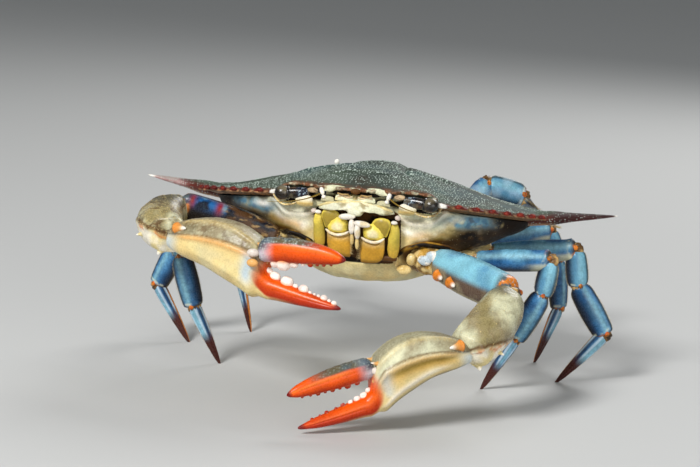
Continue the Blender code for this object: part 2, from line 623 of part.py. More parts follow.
def build():
    for old in list(bpy.data.objects):
        bpy.data.objects.remove(old)
    parts, helpers = gather("blue_swimming_crab"), gather("helpers")
    carrier = bpy.data.objects.new("crab", None)
    helpers.objects.link(carrier)
    sunk = make_carapace(parts, helpers)
    trunk = make_thorax(parts, helpers)
    sunk.append(make_abdomen(parts))
    for side_name, side in SIDES.items():
        make_eye(side_name, side, parts)
        make_antenna(side_name, side, parts)
        make_jaw_foot(side_name, side, parts, helpers)
        arm = make_claw(side_name, side, parts, helpers)
        sunk += [arm["basis"], arm["merus"]]
        for name in WALKING_LEGS:
            sunk.append(make_walking_leg(name, side_name, parts)["basis"])
        sunk.append(make_swimming_leg(side_name, side, parts)["basis"])
    for piece in sunk:
        cut_socket(trunk, piece, helpers)
    stand_on_ground(carrier, parts)


build()
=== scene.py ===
"""Looks of the blue swimming crab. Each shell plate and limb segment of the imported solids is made
again with its ridges, grains, spines, teeth, joints, hairs and colours.

The crab is laid out in millimetres about the middle of its shell, at the height of its eyes:
+X is the crab's left, -Y its front and +Z up. to_world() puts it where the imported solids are."""

import itertools
import json
import math
from types import SimpleNamespace

import bpy
import numpy as np
from mathutils import Matrix, Vector

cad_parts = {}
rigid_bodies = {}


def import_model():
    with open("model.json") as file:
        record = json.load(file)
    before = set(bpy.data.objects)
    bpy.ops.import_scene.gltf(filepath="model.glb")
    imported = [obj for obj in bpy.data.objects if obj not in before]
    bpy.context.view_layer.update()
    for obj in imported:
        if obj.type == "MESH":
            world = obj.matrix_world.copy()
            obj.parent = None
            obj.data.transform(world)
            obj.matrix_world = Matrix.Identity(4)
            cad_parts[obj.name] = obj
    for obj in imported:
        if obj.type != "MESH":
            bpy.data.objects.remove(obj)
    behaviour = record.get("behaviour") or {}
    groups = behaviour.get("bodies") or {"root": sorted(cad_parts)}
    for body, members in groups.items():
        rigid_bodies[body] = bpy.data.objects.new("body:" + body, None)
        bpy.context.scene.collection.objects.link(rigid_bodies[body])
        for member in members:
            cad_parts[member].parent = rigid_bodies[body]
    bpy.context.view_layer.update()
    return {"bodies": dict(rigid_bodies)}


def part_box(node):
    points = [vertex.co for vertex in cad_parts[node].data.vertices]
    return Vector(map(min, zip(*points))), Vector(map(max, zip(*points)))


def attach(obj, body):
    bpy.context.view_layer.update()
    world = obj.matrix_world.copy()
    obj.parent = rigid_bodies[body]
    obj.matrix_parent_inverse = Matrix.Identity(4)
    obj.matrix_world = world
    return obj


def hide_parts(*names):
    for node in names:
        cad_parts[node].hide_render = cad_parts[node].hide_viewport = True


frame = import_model()
root_body = next(iter(frame["bodies"]))

MM = 0.001
SIDES = {"left": 1, "right": -1}  # sign of x
SEGMENTS = ("basis", "merus", "carpus", "propodus", "dactyl")
UP = np.array((0.0, 0.0, 1.0))
FLOOR = -58.0  # level of the legs' tips
TIP_PRESS = 0.7  # how far a leg would go under the floor if its tip were not cut flat

# ---- Sizes of the solids, repeated -----------------------------------------------------------

FRONT_EDGE = ((0, -30.2, 2.6), (4.4, -32.4, 2.8), (7.6, -30.8, 2.9), (11.4, -31.7, 2.8))
ORBIT_EDGE = ((13.6, -29.2, 2.7), (17.6, -27.8, 2.6), (21.6, -27.4, 2.2), (24.2, -27.9, 1.0))
MARGIN_HALF_WIDTH, MARGIN_HALF_LENGTH = 58.5, 32.8
TOOTH_COUNT, FIRST_TOOTH, LAST_TOOTH = 8, 63.8, 21.5
FIRST_TOOTH_Z, LAST_TOOTH_Z = -0.4, -4.0
TOOTH_STEP = (FIRST_TOOTH - LAST_TOOTH) / (TOOTH_COUNT - 1)
NOTCH_SHARE, SMOOTH_SHARE, NOTCH_PLACE = 0.95, 0.935, 0.72
SPINE_NOTCH, SPINE_NOTCH_SHARE = 7.0, 0.965
SPINE_ROOT, SPINE_TIP = (47.0, -3.4, -6.2), (75.0, -0.6, -3.3)
SPINE_HEIGHT, SPINE_WIDTH = 4.6, 12.0
SIDE_CORNER, HIND_CONTROL, HIND_CORNER = (56.2, 0.5), (45.0, 13.5), (23.0, 27.5)
HIND_EDGE = ((19.5, 30.4), (12.0, 31.5), (0, 31.9))
HIND_Z, HIND_SHARE, RIM = -4.4, 0.965, 0.9
DOME_TOP, DOME_UNDERSIDE = 7.2, -4.5
FORWARD_POWER, SIDEWAYS_POWER = 2.0, 1.6
BODY_BOTTOM = -27.3
BODY_RINGS = (
    (0.00, 0.94, 0.975, 0.93), (0.10, 0.93, 0.980, 0.90), (0.28, 0.80, 0.970, 0.84),
    (0.46, 0.66, 0.945, 0.76), (0.64, 0.50, 0.910, 0.68), (0.79, 0.42, 0.850, 0.60),
    (0.92, 0.36, 0.750, 0.52), (1.00, 0.29, 0.620, 0.42),
)
ORBIT_CENTRE, ORBIT_RADII = (19.4, -31.0, -0.9), (6.4, 4.6, 2.9)
MOUTH_CENTRE, MOUTH_SIZE, MOUTH_TILT = (0.0, -29.7, -11.9), (27.6, 6.0, 17.6), 12.0
SEAM_HEIGHTS, SEAM_Y = {"left": -12.9, "right": -11.6}, -28.6
APRON = ((26.5, -8.0, 10.5), (24.6, -13.0, 11.8), (21.5, -19.0, 13.2), (17.0, -24.0, 15.4),
         (11.0, -27.2, 16.4), (3.5, -27.9, 14.2), (-4.0, -27.9, 8.4), (-10.0, -27.7, 2.2))

# Profiles: share of the length, then height and thickness over the segment's largest. The palm's
# last number is the rise of its middle line.
PEG = ((0.0, 0.85, 0.85), (0.5, 1.0, 1.0), (1.0, 0.84, 0.84))
THIGH = ((0.0, 0.62, 0.66), (0.14, 0.86, 0.88), (0.5, 1.0, 1.0), (0.86, 0.94, 0.98), (1.0, 0.80, 0.84))
WRIST = ((0.0, 0.58, 0.62), (0.24, 0.92, 0.94), (0.6, 1.0, 1.0), (0.9, 0.92, 0.9), (1.0, 0.80, 0.78))
SHIN = ((0.0, 0.6, 0.66), (0.2, 0.93, 0.95), (0.5, 1.0, 1.0), (0.86, 0.9, 0.86), (1.0, 0.72, 0.72))
POINT = ((0.0, 0.74, 0.8), (0.12, 1.0, 1.0), (0.45, 0.8, 0.78), (0.8, 0.44, 0.48), (1.0, 0.12, 0.16))
PADDLE = ((0.0, 0.3, 0.9), (0.12, 0.62, 1.0), (0.4, 1.0, 0.9), (0.66, 0.95, 0.75),
          (0.88, 0.6, 0.55), (1.0, 0.18, 0.4))
SPINE = ((0.0, 0.9, 1.0), (0.27, 0.9, 0.86), (0.5, 0.6, 0.5), (0.8, 0.3, 0.24), (1.0, 0.06, 0.05))
THUMB = ((0.0, 0.7, 0.8), (0.1, 0.98, 1.0), (0.35, 1.0, 0.95), (0.65, 0.84, 0.76),
         (0.88, 0.54, 0.5), (1.0, 0.14, 0.16))
PALM = ((0.0, 0.36, 0.5, 0.0), (0.05, 0.54, 0.68, 0.0), (0.12, 0.72, 0.82, 0.0),
        (0.24, 0.89, 0.95, 0.02), (0.38, 1.0, 1.0, 0.0), (0.48, 0.97, 0.92, -0.03),
        (0.535, 0.82, 0.8, -0.18), (0.58, 0.46, 0.56, -0.34), (0.66, 0.36, 0.46, -0.28),
        (0.78, 0.28, 0.36, -0.2), (0.9, 0.19, 0.25, -0.1), (1.0, 0.05, 0.07, 0.0))
PALM_SHARE = 0.62  # the bow of the palm ends here

WALKING_LEGS = {
    "leg_1": dict(socket=(19.5, -10.0, -20.5), scale=1.0, heading={"left": 14, "right": 20},
                  slopes={"left": (-100, -118, -120), "right": (-94, -106, -116)}),
    "leg_2": dict(socket=(20.5, 0.0, -20.5), scale=1.06, heading={"left": -7, "right": -8},
                  slopes={"left": (-82, -58, -130), "right": (-72, -64, -124)}),
    "leg_3": dict(socket=(19.0, 9.5, -19.5), scale=0.96, heading={"left": -33, "right": -36},
                  slopes={"left": (-70, -84, -112), "right": (-74, -86, -112)}),
}
LEG_PROFILES = dict(basis=PEG, merus=THIGH, carpus=WRIST, propodus=SHIN, dactyl=POINT)
LEG_LENGTHS = dict(basis=15.5, merus=24.5, carpus=10.5, propodus=16.5, dactyl=21.0)
LEG_HEIGHTS = dict(basis=7.0, merus=7.2, carpus=6.2, propodus=6.8, dactyl=4.2)
LEG_THICKNESSES = dict(basis=5.6, merus=4.2, carpus=4.4, propodus=3.8, dactyl=2.8)
SWIM_JOINTS = {
    "left": ((15.5, 18.5, -12.8), (22.0, 29.5, -13.0), (28.3, 37.5, -2.6), (39.6, 41.8, -6.0),
             (41.5, 54.0, -12.5), (44.5, 73.5, -18.0)),
    "right": ((15.5, 18.5, -12.8), (22.0, 29.5, -13.0), (32.0, 37.5, -10.5), (39.8, 41.5, -12.5),
              (46.0, 53.0, -17.0), (54.5, 74.0, -20.5)),
}
SWIM_PROFILES = dict(LEG_PROFILES, dactyl=PADDLE)
SWIM_HEIGHTS = dict(basis=7.6, merus=9.4, carpus=8.4, propodus=9.6, dactyl=14.5)
SWIM_THICKNESSES = dict(basis=6.0, merus=5.0, carpus=4.4, propodus=3.2, dactyl=1.7)
PADDLE_UP = (-0.8, 0.35, 0.35)
CLAWS = {
    "right": dict(socket=(15.0, -17.8, -18.0), elbow=(25.0, -25.5, -16.6),
                  wrist=(54.2, -31.8, -8.0), palm=(50.3, -49.0, -13.6),
                  hinge=(21.5, -59.0, -14.6), finger=(-4.6, -62.5, -27.6),
                  thumb=(-5.4, -63.0, -13.4), palm_up=(0.0, 0.10, 1.0)),
    "left": dict(socket=(15.0, -17.8, -18.0), elbow=(25.0, -24.0, -18.6),
                 wrist=(50.2, -46.0, -22.2), palm=(41.5, -63.5, -36.0),
                 hinge=(18.6, -77.5, -40.6), finger=(0.6, -89.5, -56.2),
                 thumb=(-2.6, -91.0, -47.0), palm_up=(-0.1, -0.05, 1.0)),
}
ARM_PROFILES = dict(basis=PEG, merus=THIGH, carpus=WRIST)
ARM_HEIGHTS = dict(basis=9.0, merus=12.0, carpus=13.8)
ARM_THICKNESSES = dict(basis=7.6, merus=8.8, carpus=13.2)
ARM_UPS = dict(basis=(0.2, 0.0, 1.0), merus=(0.2, 0.0, 1.0), carpus=(1.0, 0.1, 0.0))
WRIST_BOWS = {"right": 4.8, "left": 1.0}
PALM_SIZES = {"right": (16.8, 12.6, 3.1), "left": (15.2, 11.4, 4.6)}  # height, thickness, bow
THUMB_SIZES = {"right": (7.2, 6.2, 0.9), "left": (6.2, 5.2, 0.4)}
HINGE_RISE = 1.2
EYE_INNER, EYE_OUTER = (14.4, -29.2, -0.2), (22.9, -30.2, -0.7)
FEELER_START, FEELER_BEND, FEELER_END = (10.4, -30.9, 0.4), (15.0, -35.6, -2.6), (26.0, -35.2, -3.0)


# ---- Colours ---------------------------------------------------------------------------------


def ink(code):
    """Linear colour of an sRGB hex code."""
    parts = [int(code[i:i + 2], 16) / 255 for i in (0, 2, 4)]
    return np.array([c / 12.92 if c < 0.04045 else ((c + 0.055) / 1.055) ** 2.4 for c in parts])


INKS = {name: ink(code) for name, code in {
    "shell": "465444", "shell_dark": "1f2a26", "shell_brown": "43351f", "shell_blue": "3d5a5c",
    "grain": "bccabf", "edge": "70452a", "tooth": "5e140c", "tooth_pale": "c99468",
    "spine_dark": "32110e", "spine_pink": "a87f7c", "white": "fbf6ea", "cream": "e2cf92",
    # The near-black ink in this row stands for real stains and dark joints, and also for painted shade in
    # sockets, gaps and the right merus
    "bone": "e2e2bf", "flank_blue": "6c96a4", "olive": "8a7128", "stain_and_shade": "150e08", "brown": "5a3a18",
    "yellow": "efd95c", "gold": "c8962f", "mouth_olive": "a8913a", "palp": "f6efe0",
    "orange": "e25204", "deep_orange": "a82b05", "finger_tip": "74130f", "joint": "dd7f22",
    "joint_red": "b52c18", "tan": "978a6a", "tan_dark": "64583c", "peach": "e0a862",
    "straw": "dfc585", "pale_blue": "b9d0de", "azure": "84c2d4", "blue": "1c5080",
    # The light orange ink in this row is a painted highlight along the fingers
    "navy": "0b1426", "steel": "3a76aa", "steel_light": "8cc0d0", "red": "8e1a12", "orange_highlight": "f98a3a",
    "carpus": "93865a", "hair": "a98f5e", "eye": "1c1712", "eye_top": "756a52",
    "membrane": "c9a468", "cobalt": "1d63a0", "tip_brown": "43180f", "tooth_white": "f8e9dd",
}.items()}


# ---- Numbers over a surface ------------------------------------------------------------------


def rise(x, low, high):
    """Goes smoothly from 0 at low to 1 at high."""
    t = np.clip((x - low) / (high - low), 0.0, 1.0)
    return t * t * (3 - 2 * t)


def hump(x, centre, width):
    """1 at the centre, falling to 0 on both sides."""
    return np.exp(-((x - centre) / width) ** 2)


def smooth(x, stations, values):
    """Curve through the values at the stations, with no overshoot."""
    stations, values = np.asarray(stations, float), np.asarray(values, float)
    x = np.clip(x, stations[0], stations[-1])
    wide = (slice(None),) + (None,) * (values.ndim - 1)
    steps = np.diff(stations)
    secants = np.diff(values, axis=0) / steps[wide]
    product, total = secants[:-1] * secants[1:], secants[:-1] + secants[1:]
    inner = np.where(product > 0, 2 * product / np.where(total == 0, 1, total), 0)
    slopes = np.concatenate([secants[:1], inner, secants[-1:]])
    i = np.clip(np.searchsorted(stations, x, side="right") - 1, 0, len(steps) - 1)
    shape = x.shape + (1,) * (values.ndim - 1)
    h, t = steps[i].reshape(shape), ((x - stations[i]) / steps[i]).reshape(shape)
    start = values[i] * (1 + 2 * t) * (1 - t) ** 2 + h * slopes[i] * t * (1 - t) ** 2
    return start + values[i + 1] * t * t * (3 - 2 * t) + h * slopes[i + 1] * t * t * (t - 1)


def softened(values, width):
    """Values round a closed outline, averaged over their neighbours."""
    weights = np.hanning(2 * width + 1)
    padded = np.concatenate([values[-width:], values, values[:width]])
    return np.convolve(padded, weights / weights.sum(), "valid")


def hashed(cells, seed):
    """Number from 0 to 1 for each cell of a lattice."""
    value = np.sin(cells @ np.array((12.9898, 78.233, 37.719)) + seed * 4.1414) * 43758.5453
    return value - np.floor(value)


def corners(points):
    """The eight lattice corners round each point."""
    base = np.floor(points)
    return [base + offset for offset in itertools.product((0, 1), repeat=3)]


def grains(points, spacing, seed):
    """Distance to the nearest of many scattered spots, over the spacing."""
    points = points / spacing
    best = np.full(points.shape[:-1], 9.0)
    for cell in corners(points - 0.5):
        spot = cell + 0.5 + 0.7 * np.stack([hashed(cell, seed + k) - 0.5 for k in range(3)], axis=-1)
        best = np.minimum(best, np.linalg.norm(points - spot, axis=-1))
    return best


def cloud(points, size, seed, octaves=3):
    """Soft noise from about -1 to 1."""
    total = 0.0
    for octave in range(octaves):
        place = points * 2 ** octave / size
        base = np.floor(place)
        part = place - base
        part = part * part * (3 - 2 * part)
        value = 0.0
        for cell in corners(place):
            weight = np.prod(np.where(cell > base + 0.5, part, 1 - part), axis=-1)
            value = value + weight * hashed(cell, seed + octave)
        total = total + (2 * value - 1) / 2 ** octave
    return total / 1.4


def patches(points, size, seed, low, high):
    """Soft patches of noise: 0 where it is under low, 1 where it is over high."""
    return rise(cloud(points, size, seed), low, high)


# ---- Skins -----------------------------------------------------------------------------------


class Skin:
    """Grid of points, closed round its columns and capped at its ends. front and above say how
    far each point is to the front and to the top of its own row, from -1 to 1."""

    def __init__(self, points, share=None, front=None, above=None, colour="white"):
        self.points = np.array(points, float)
        self.share, self.front, self.above = share, front, above
        self.colour = np.tile(INKS[colour], (*self.points.shape[:2], 1))

    def normals(self):
        """Unit normals, pointing outwards."""
        along = np.gradient(self.points, axis=0)
        around = np.roll(self.points, -1, axis=1) - np.roll(self.points, 1, axis=1)
        normal = np.cross(along, around)
        return normal / np.maximum(np.linalg.norm(normal, axis=-1, keepdims=True), 1e-9)

    def swell(self, height):
        """Moves the points outwards by a height for each."""
        self.points += self.normals() * np.asarray(height)[..., None]
        return self

    def paint(self, name, mask=1.0):
        """Blends a colour in, wholly where the mask is 1."""
        mask = np.broadcast_to(mask, self.points.shape[:2])[..., None]
        self.colour += (INKS[name] - self.colour) * np.clip(mask, 0, 1)
        return self

    def near(self, centre, radii):
        """1 at the centre of an ellipsoid, 0 outside it."""
        return 1 - rise(np.linalg.norm((self.points - centre) / radii, axis=-1), 0.45, 1.0)

    def patches(self, size, seed, low, high):
        return patches(self.points, size, seed, low, high)

    def granulate(self, spacing, height, ink_name=None, strength=1.0, where=1.0, seed=0):
        """Scatters small rounded grains."""
        mask = (1 - rise(grains(self.points, spacing, seed), 0.18, 0.46)) * where
        self.swell(height * mask)
        if ink_name:
            self.paint(ink_name, strength * mask)
        return self


def unit(vector):
    vector = np.asarray(vector, float)
    return vector / np.linalg.norm(vector)


def mirrored(point, side):
    """A point of the left side, put on the side asked for."""
    return np.array((side * point[0], point[1], point[2]), float)


def axes(axis, up):
    """Unit vectors along the axis, upwards and sideways."""
    along = unit(axis)
    upward = unit(np.asarray(up, float) - np.dot(up, along) * along)
    return along, upward, np.cross(along, upward)


def limb(start, end, up, profile, size, rings, sides, squareness=0.86, bow=0.0, caps=(0.05, 0.05),
         lift=None):
    """Limb segment through the profile's stations, with rounded ends."""
    start, end = np.asarray(start, float), np.asarray(end, float)
    _, upward, sideways = axes(end - start, up)
    table = np.array(profile)
    share = 0.5 - 0.5 * np.cos(np.linspace(0.02, 1, rings) * math.pi)
    half = smooth(share, table[:, 0], table[:, 1:3]) * np.array(size) / 2
    first = np.sqrt(1 - (1 - np.clip(share / caps[0], 0.02, 1)) ** 2)
    last = np.sqrt(1 - (1 - np.clip((1 - share) / caps[1], 0.02, 1)) ** 2)
    half = half * (first * last)[:, None]
    rising = 4 * bow * share * (1 - share) if lift is None else lift(share)
    angle = 2 * math.pi * (np.arange(sides) + 0.5) / sides
    c, s = np.cos(angle), np.sin(angle)
    across, above = np.sign(c) * np.abs(c) ** squareness, np.sign(s) * np.abs(s) ** squareness
    centre = start + share[:, None] * (end - start) + rising[:, None] * upward
    points = centre[:, None] + (half[:, 1:2] * across)[..., None] * sideways
    points = points + (half[:, 0:1] * above)[..., None] * upward
    forward = -math.copysign(1.0, sideways[1])
    grid = np.ones((rings, sides))
    return Skin(points, share[:, None] * grid, grid * across * forward, grid * above)


def rope(path, radius, colour, sides=10, up=UP):
    """Round strand along a path, with one radius or one for each point."""
    path = np.asarray(path, float)
    along = np.gradient(path, axis=0)
    along /= np.linalg.norm(along, axis=1, keepdims=True)
    upward = up - (along @ up)[:, None] * along
    upward /= np.linalg.norm(upward, axis=1, keepdims=True)
    sideways = np.cross(along, upward)
    angle = 2 * math.pi * np.arange(sides) / sides
    radius = np.broadcast_to(radius, len(path))[:, None, None]
    around = np.cos(angle)[None, :, None] * sideways[:, None] + np.sin(angle)[None, :, None] * upward[:, None]
    share = np.linspace(0, 1, len(path))[:, None] * np.ones(sides)
    return Skin(path[:, None] + radius * around, share, colour=colour)


def through(points, count):
    """Smooth path through a few points."""
    points = np.asarray(points, float)
    lengths = np.concatenate([[0], np.cumsum(np.linalg.norm(np.diff(points, axis=0), axis=1))])
    return smooth(np.linspace(0, lengths[-1], count), lengths, points)


def side_path(points, side, count):
    """Smooth path through points given for the left side."""
    return through([mirrored(point, side) for point in points], count)


def bow_path(start, control, end, count):
    """Path from start to end that bends towards a control point."""
    t = np.linspace(0, 1, count)[:, None]
    start, control, end = (np.asarray(point, float) for point in (start, control, end))
    return (1 - t) ** 2 * start + 2 * t * (1 - t) * control + t * t * end


def ends(count, blunt):
    """Radii of a strand that tapers roundly at both ends."""
    return np.sqrt(np.clip(1 - np.abs(np.linspace(-1, 1, count)) ** (2 / blunt), 0.004, 1))


def spike(base, tip, radius, colour):
    """Spine with a broad foot and a blunt point."""
    base, tip = np.asarray(base, float), np.asarray(tip, float)
    t = np.linspace(0, 1, 16)
    path = base + t[:, None] * (tip - base)
    up = UP if abs(unit(tip - base)[2]) < 0.8 else np.array((0.0, 1.0, 0.0))
    widths = radius * (1 - t) ** 0.8 * (1 - 0.25 * np.sin(math.pi * t)) + 0.07 * radius
    made = rope(path, widths, colour, 14, up)
    return made.paint("white", rise(made.share, 0.45, 0.95))


def knob(centre, radii, colour, turn=None, squareness=1.0, flatness=1.0, rings=20, sides=28):
    """Rounded lump. squareness fills the corners of its outline seen from the front, and
    flatness those of its thickness."""
    high = np.linspace(-0.49, 0.49, rings) * math.pi
    round_ = 2 * math.pi * np.arange(sides) / sides

    def bent(value, power):
        return np.sign(value) * np.abs(value) ** power

    x = bent(np.cos(high), flatness)[:, None] * bent(np.cos(round_), squareness)
    z = bent(np.cos(high), flatness)[:, None] * bent(np.sin(round_), squareness)
    y = bent(np.sin(high), flatness)[:, None] * np.ones(sides)
    local = np.stack([x, y, z], axis=-1) * np.asarray(radii, float)
    made = Skin(local, colour=colour)
    made.front, made.above, made.share = -y, z, x
    turn = np.eye(3) if turn is None else np.array(turn)
    made.points = local @ turn.T + np.asarray(centre, float)
    return made


def closed(points, count):
    """Smooth closed path through a few points, anticlockwise seen from the front."""
    points = np.asarray(points, float)
    area = np.sum(points[:, 0] * np.roll(points[:, 1], -1) - points[:, 1] * np.roll(points[:, 0], -1))
    points = points if area > 0 else points[::-1]
    ring = np.concatenate([points[-2:], points, points[:3]])
    lengths = np.concatenate([[0], np.cumsum(np.linalg.norm(np.diff(ring, axis=0), axis=1))])
    return smooth(np.linspace(lengths[2], lengths[2 + len(points)], count, endpoint=False), lengths, ring)


def plate(outline, side, centre, thickness, colour, turn=None, crown=2.4, count=64):
    """Crowned plate that faces forward. Its outline's points are (across, above) from the centre."""
    path = closed(np.array(outline) * (side, 1), count)
    middle = path.mean(axis=0)
    rings = [(share, -1 + share ** crown) for share in np.linspace(0.03, 1, 16)]
    rings += [(1.0, 0.25), (0.96, 0.5), (0.6, 0.6), (0.03, 0.6)]
    rows = []
    for share, depth in rings:
        flat = middle + (path - middle) * share
        rows.append(np.column_stack([flat[:, 0], np.full(count, depth * thickness), flat[:, 1]]))
    local = np.array(rows)
    made = Skin(local, colour=colour)
    made.share = np.array([share for share, _ in rings])[:, None] * np.ones(count)
    made.above = (local[..., 2] - middle[1]) / np.ptp(path[:, 1]) * 2
    made.front = -local[..., 1] / thickness
    turn = np.eye(3) if turn is None else np.array(turn)
    made.points = local @ turn.T + np.asarray(centre, float)
    return made


BEAD_RINGS = ((1.0, -0.3), (0.86, 0.34), (0.4, 0.62))  # radius and height, over the bead's radius


def beads(skin, spacing, radius, ink_name, where, seed, sides=7):
    """Small rounded grains on a skin, fewer where the mask is low."""
    points = skin.points.reshape(-1, 3)
    mask = np.broadcast_to(where, skin.points.shape[:2]).reshape(-1)
    cell = np.floor(points / spacing)
    spot = np.stack([hashed(cell, seed + k) for k in range(3)], axis=-1) * 0.7 + 0.15
    distance = np.linalg.norm(points / spacing - cell - spot, axis=-1)
    order = np.lexsort((distance, *cell.T))
    first = np.concatenate([[True], np.any(np.diff(cell[order], axis=0) != 0, axis=1)])
    chosen = order[first]
    chosen = chosen[(distance[chosen] < 0.42) & (mask[chosen] > hashed(cell[chosen], seed + 7))]
    size = radius * (0.7 + 0.6 * hashed(cell[chosen], seed + 5))[:, None, None, None]
    normal = skin.normals().reshape(-1, 3)[chosen]
    upward = np.cross(normal, (0.3, 0.5, 0.8))
    upward /= np.linalg.norm(upward, axis=1, keepdims=True)
    sideways = np.cross(normal, upward)
    angle = 2 * math.pi * np.arange(sides)[:, None] / sides
    around = np.cos(angle) * sideways[:, None, None] + np.sin(angle) * upward[:, None, None]
    rings = np.array(BEAD_RINGS)[None, :, None]
    made = points[chosen][:, None, None] + size * (
        rings[..., :1] * around + rings[..., 1:] * normal[:, None, None])
    beaded = Skin(np.zeros((1, 1, 3)))
    beaded.points = made
    own = skin.colour.reshape(-1, 3)[chosen][:, None, None]
    strength = (0.55 + 0.45 * hashed(cell[chosen], seed + 9))[:, None, None, None]
    beaded.colour = np.broadcast_to(own + (INKS[ink_name] - own) * strength, made.shape)
    return beaded


HAIR_DROOP = 0.25  # sideways, over the length


def hairs(roots, directions, lengths, seed, radius=0.07):
    """Three-sided hairs that taper to a point."""
    made = []
    chance = np.random.default_rng(seed)
    for root, direction, length in zip(roots, directions, lengths):
        direction = unit(unit(direction) + chance.normal(0, 0.14, 3))
        side = unit(np.cross(direction, chance.normal(0, 1, 3)))
        t = np.linspace(0, 1, 4)[:, None]
        path = root + direction * length * t + side * HAIR_DROOP * length * t ** 2
        colour = "hair" if chance.random() < 0.7 else "cream"
        made.append(rope(path, radius * (1.05 - t[:, 0]), colour, sides=3, up=side + 0.01 * UP))
    return made


# ---- Objects and materials -------------------------------------------------------------------

shell_low, shell_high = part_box("carapace")
SHELL_REAR = np.array(((shell_low.x + shell_high.x) / 2, shell_high.y, shell_high.z))
OFFSET = SHELL_REAR - np.array((0.0, HIND_EDGE[-1][1], DOME_TOP)) * MM


def to_world(points):
    """From the crab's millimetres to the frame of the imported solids."""
    return points * MM + OFFSET


def material(name, roughness, grain_size, bump, coat, mottle=0.2, subsurface=0.0, gloss=0.3):
    """Shell finish: the painted colour with fine mottling, grain and uneven gloss."""
    made = bpy.data.materials.new(name)
    made.use_nodes = True
    nodes, links = made.node_tree.nodes, made.node_tree.links
    shader = nodes["Principled BSDF"]
    shader.inputs["Coat Weight"].default_value = coat
    shader.inputs["Coat Roughness"].default_value = 0.18
    shader.inputs["Specular IOR Level"].default_value = gloss
    shader.inputs["Subsurface Weight"].default_value = subsurface
    shader.inputs["Subsurface Radius"].default_value = (0.0012, 0.0008, 0.0005)
    place = nodes.new("ShaderNodeTexCoord")
    tint = nodes.new("ShaderNodeAttribute")
    tint.attribute_name = "tint"

    def texture(kind, size, detail=4.0):
        node = nodes.new(kind)
        node.inputs["Scale"].default_value = 1 / (size * MM)
        if "Detail" in node.inputs:
            node.inputs["Detail"].default_value = detail
        links.new(place.outputs["Object"], node.inputs["Vector"])
        return node

    def remap(source, low_value, high_value):
        node = nodes.new("ShaderNodeMapRange")
        node.inputs["From Min"].default_value = 0.3
        node.inputs["From Max"].default_value = 0.7
        node.inputs["To Min"].default_value = low_value
        node.inputs["To Max"].default_value = high_value
        links.new(source, node.inputs["Value"])
        return node.outputs["Result"]

    blotch = texture("ShaderNodeTexNoise", 5.0)
    pores = texture("ShaderNodeTexNoise", grain_size, 6.0)
    cells = texture("ShaderNodeTexVoronoi", grain_size)
    shade = nodes.new("ShaderNodeMath")
    shade.operation = "MULTIPLY"
    links.new(remap(blotch.outputs["Fac"], 1 - mottle, 1 + 0.6 * mottle), shade.inputs[0])
    links.new(remap(pores.outputs["Fac"], 1 - 0.7 * mottle, 1 + 0.5 * mottle), shade.inputs[1])
    colour = nodes.new("ShaderNodeVectorMath")
    colour.operation = "SCALE"
    links.new(tint.outputs["Color"], colour.inputs["Vector"])
    links.new(shade.outputs["Value"], colour.inputs["Scale"])
    links.new(colour.outputs["Vector"], shader.inputs["Base Color"])
    links.new(remap(pores.outputs["Fac"], roughness - 0.08, roughness + 0.1), shader.inputs["Roughness"])
    height = nodes.new("ShaderNodeMath")
    height.operation = "SUBTRACT"
    links.new(pores.outputs["Fac"], height.inputs[0])
    links.new(cells.outputs["Distance"], height.inputs[1])
    relief = nodes.new("ShaderNodeBump")
    relief.inputs["Strength"].default_value = bump
    relief.inputs["Distance"].default_value = 0.12 * MM
    links.new(height.outputs["Value"], relief.inputs["Height"])
    links.new(relief.outputs["Normal"], shader.inputs["Normal"])
    return made


FINISHES = {
    "carapace": material("granular_shell", 0.5, 0.5, 0.5, coat=0.05, gloss=0.25),
    "shell": material("limb_shell", 0.27, 0.35, 0.2, coat=0.12, gloss=0.3),
    "flank": material("flank_shell", 0.5, 0.6, 0.25, coat=0.0, subsurface=0.05, gloss=0.14),
    "underside": material("pale_shell", 0.38, 0.6, 0.2, coat=0.06, subsurface=0.05, gloss=0.22),
    "finger": material("finger_shell", 0.3, 0.5, 0.15, coat=0.06, mottle=0.15, gloss=0.22),
    "eye": material("eye_surface", 0.2, 0.12, 0.2, coat=0.6, mottle=0.3),
    "hair": material("hair", 0.6, 0.3, 0.1, coat=0.0),
}


UV_PATCH = 0.003  # side of the patch one hair takes in the fringe's UV map


def make(name, skins, finish, nodes=(), uvs=None):
    """One object from many skins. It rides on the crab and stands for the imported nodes."""
    verts, faces, colours, spots = [], [], [], []
    count = 0
    for k, skin in enumerate(skins):
        rows, columns = skin.points.shape[-3:-1]
        total = skin.points.size // 3
        index = count + np.arange(total).reshape(-1, rows, columns)
        beside = np.roll(index, -1, axis=2)
        quads = [index[:, :-1], index[:, 1:], beside[:, 1:], beside[:, :-1]]
        faces += np.stack(quads, axis=-1).reshape(-1, 4).tolist()
        faces += index[:, 0].tolist() + index[:, -1, ::-1].tolist()
        verts.append(skin.points.reshape(-1, 3))
        colours.append(skin.colour.reshape(-1, 3))
        if uvs is not None:
            patch = np.stack(np.meshgrid(np.arange(columns) / columns, np.arange(rows) / rows), axis=-1)
            spots.append((uvs[k] + UV_PATCH * patch).reshape(-1, 2))
        count += total
    mesh = bpy.data.meshes.new(name)
    mesh.from_pydata(to_world(np.concatenate(verts)).tolist(), [], faces)
    colour = np.concatenate(colours)
    tint = mesh.color_attributes.new("tint", "FLOAT_COLOR", "POINT")
    tint.data.foreach_set("color", np.concatenate([colour, np.ones((count, 1))], axis=1).ravel())
    if uvs is not None:
        corner = np.zeros(len(mesh.loops), int)
        mesh.loops.foreach_get("vertex_index", corner)
        layer = mesh.uv_layers.new(name="OFBake")
        layer.data.foreach_set("uv", np.concatenate(spots)[corner].ravel())
    mesh.shade_smooth()
    mesh.materials.append(FINISHES[finish])
    made = bpy.data.objects.new(name, mesh)
    bpy.context.scene.collection.objects.link(made)
    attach(made, root_body)
    if nodes:
        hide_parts(*nodes)
    return made


# ---- Shell -----------------------------------------------------------------------------------


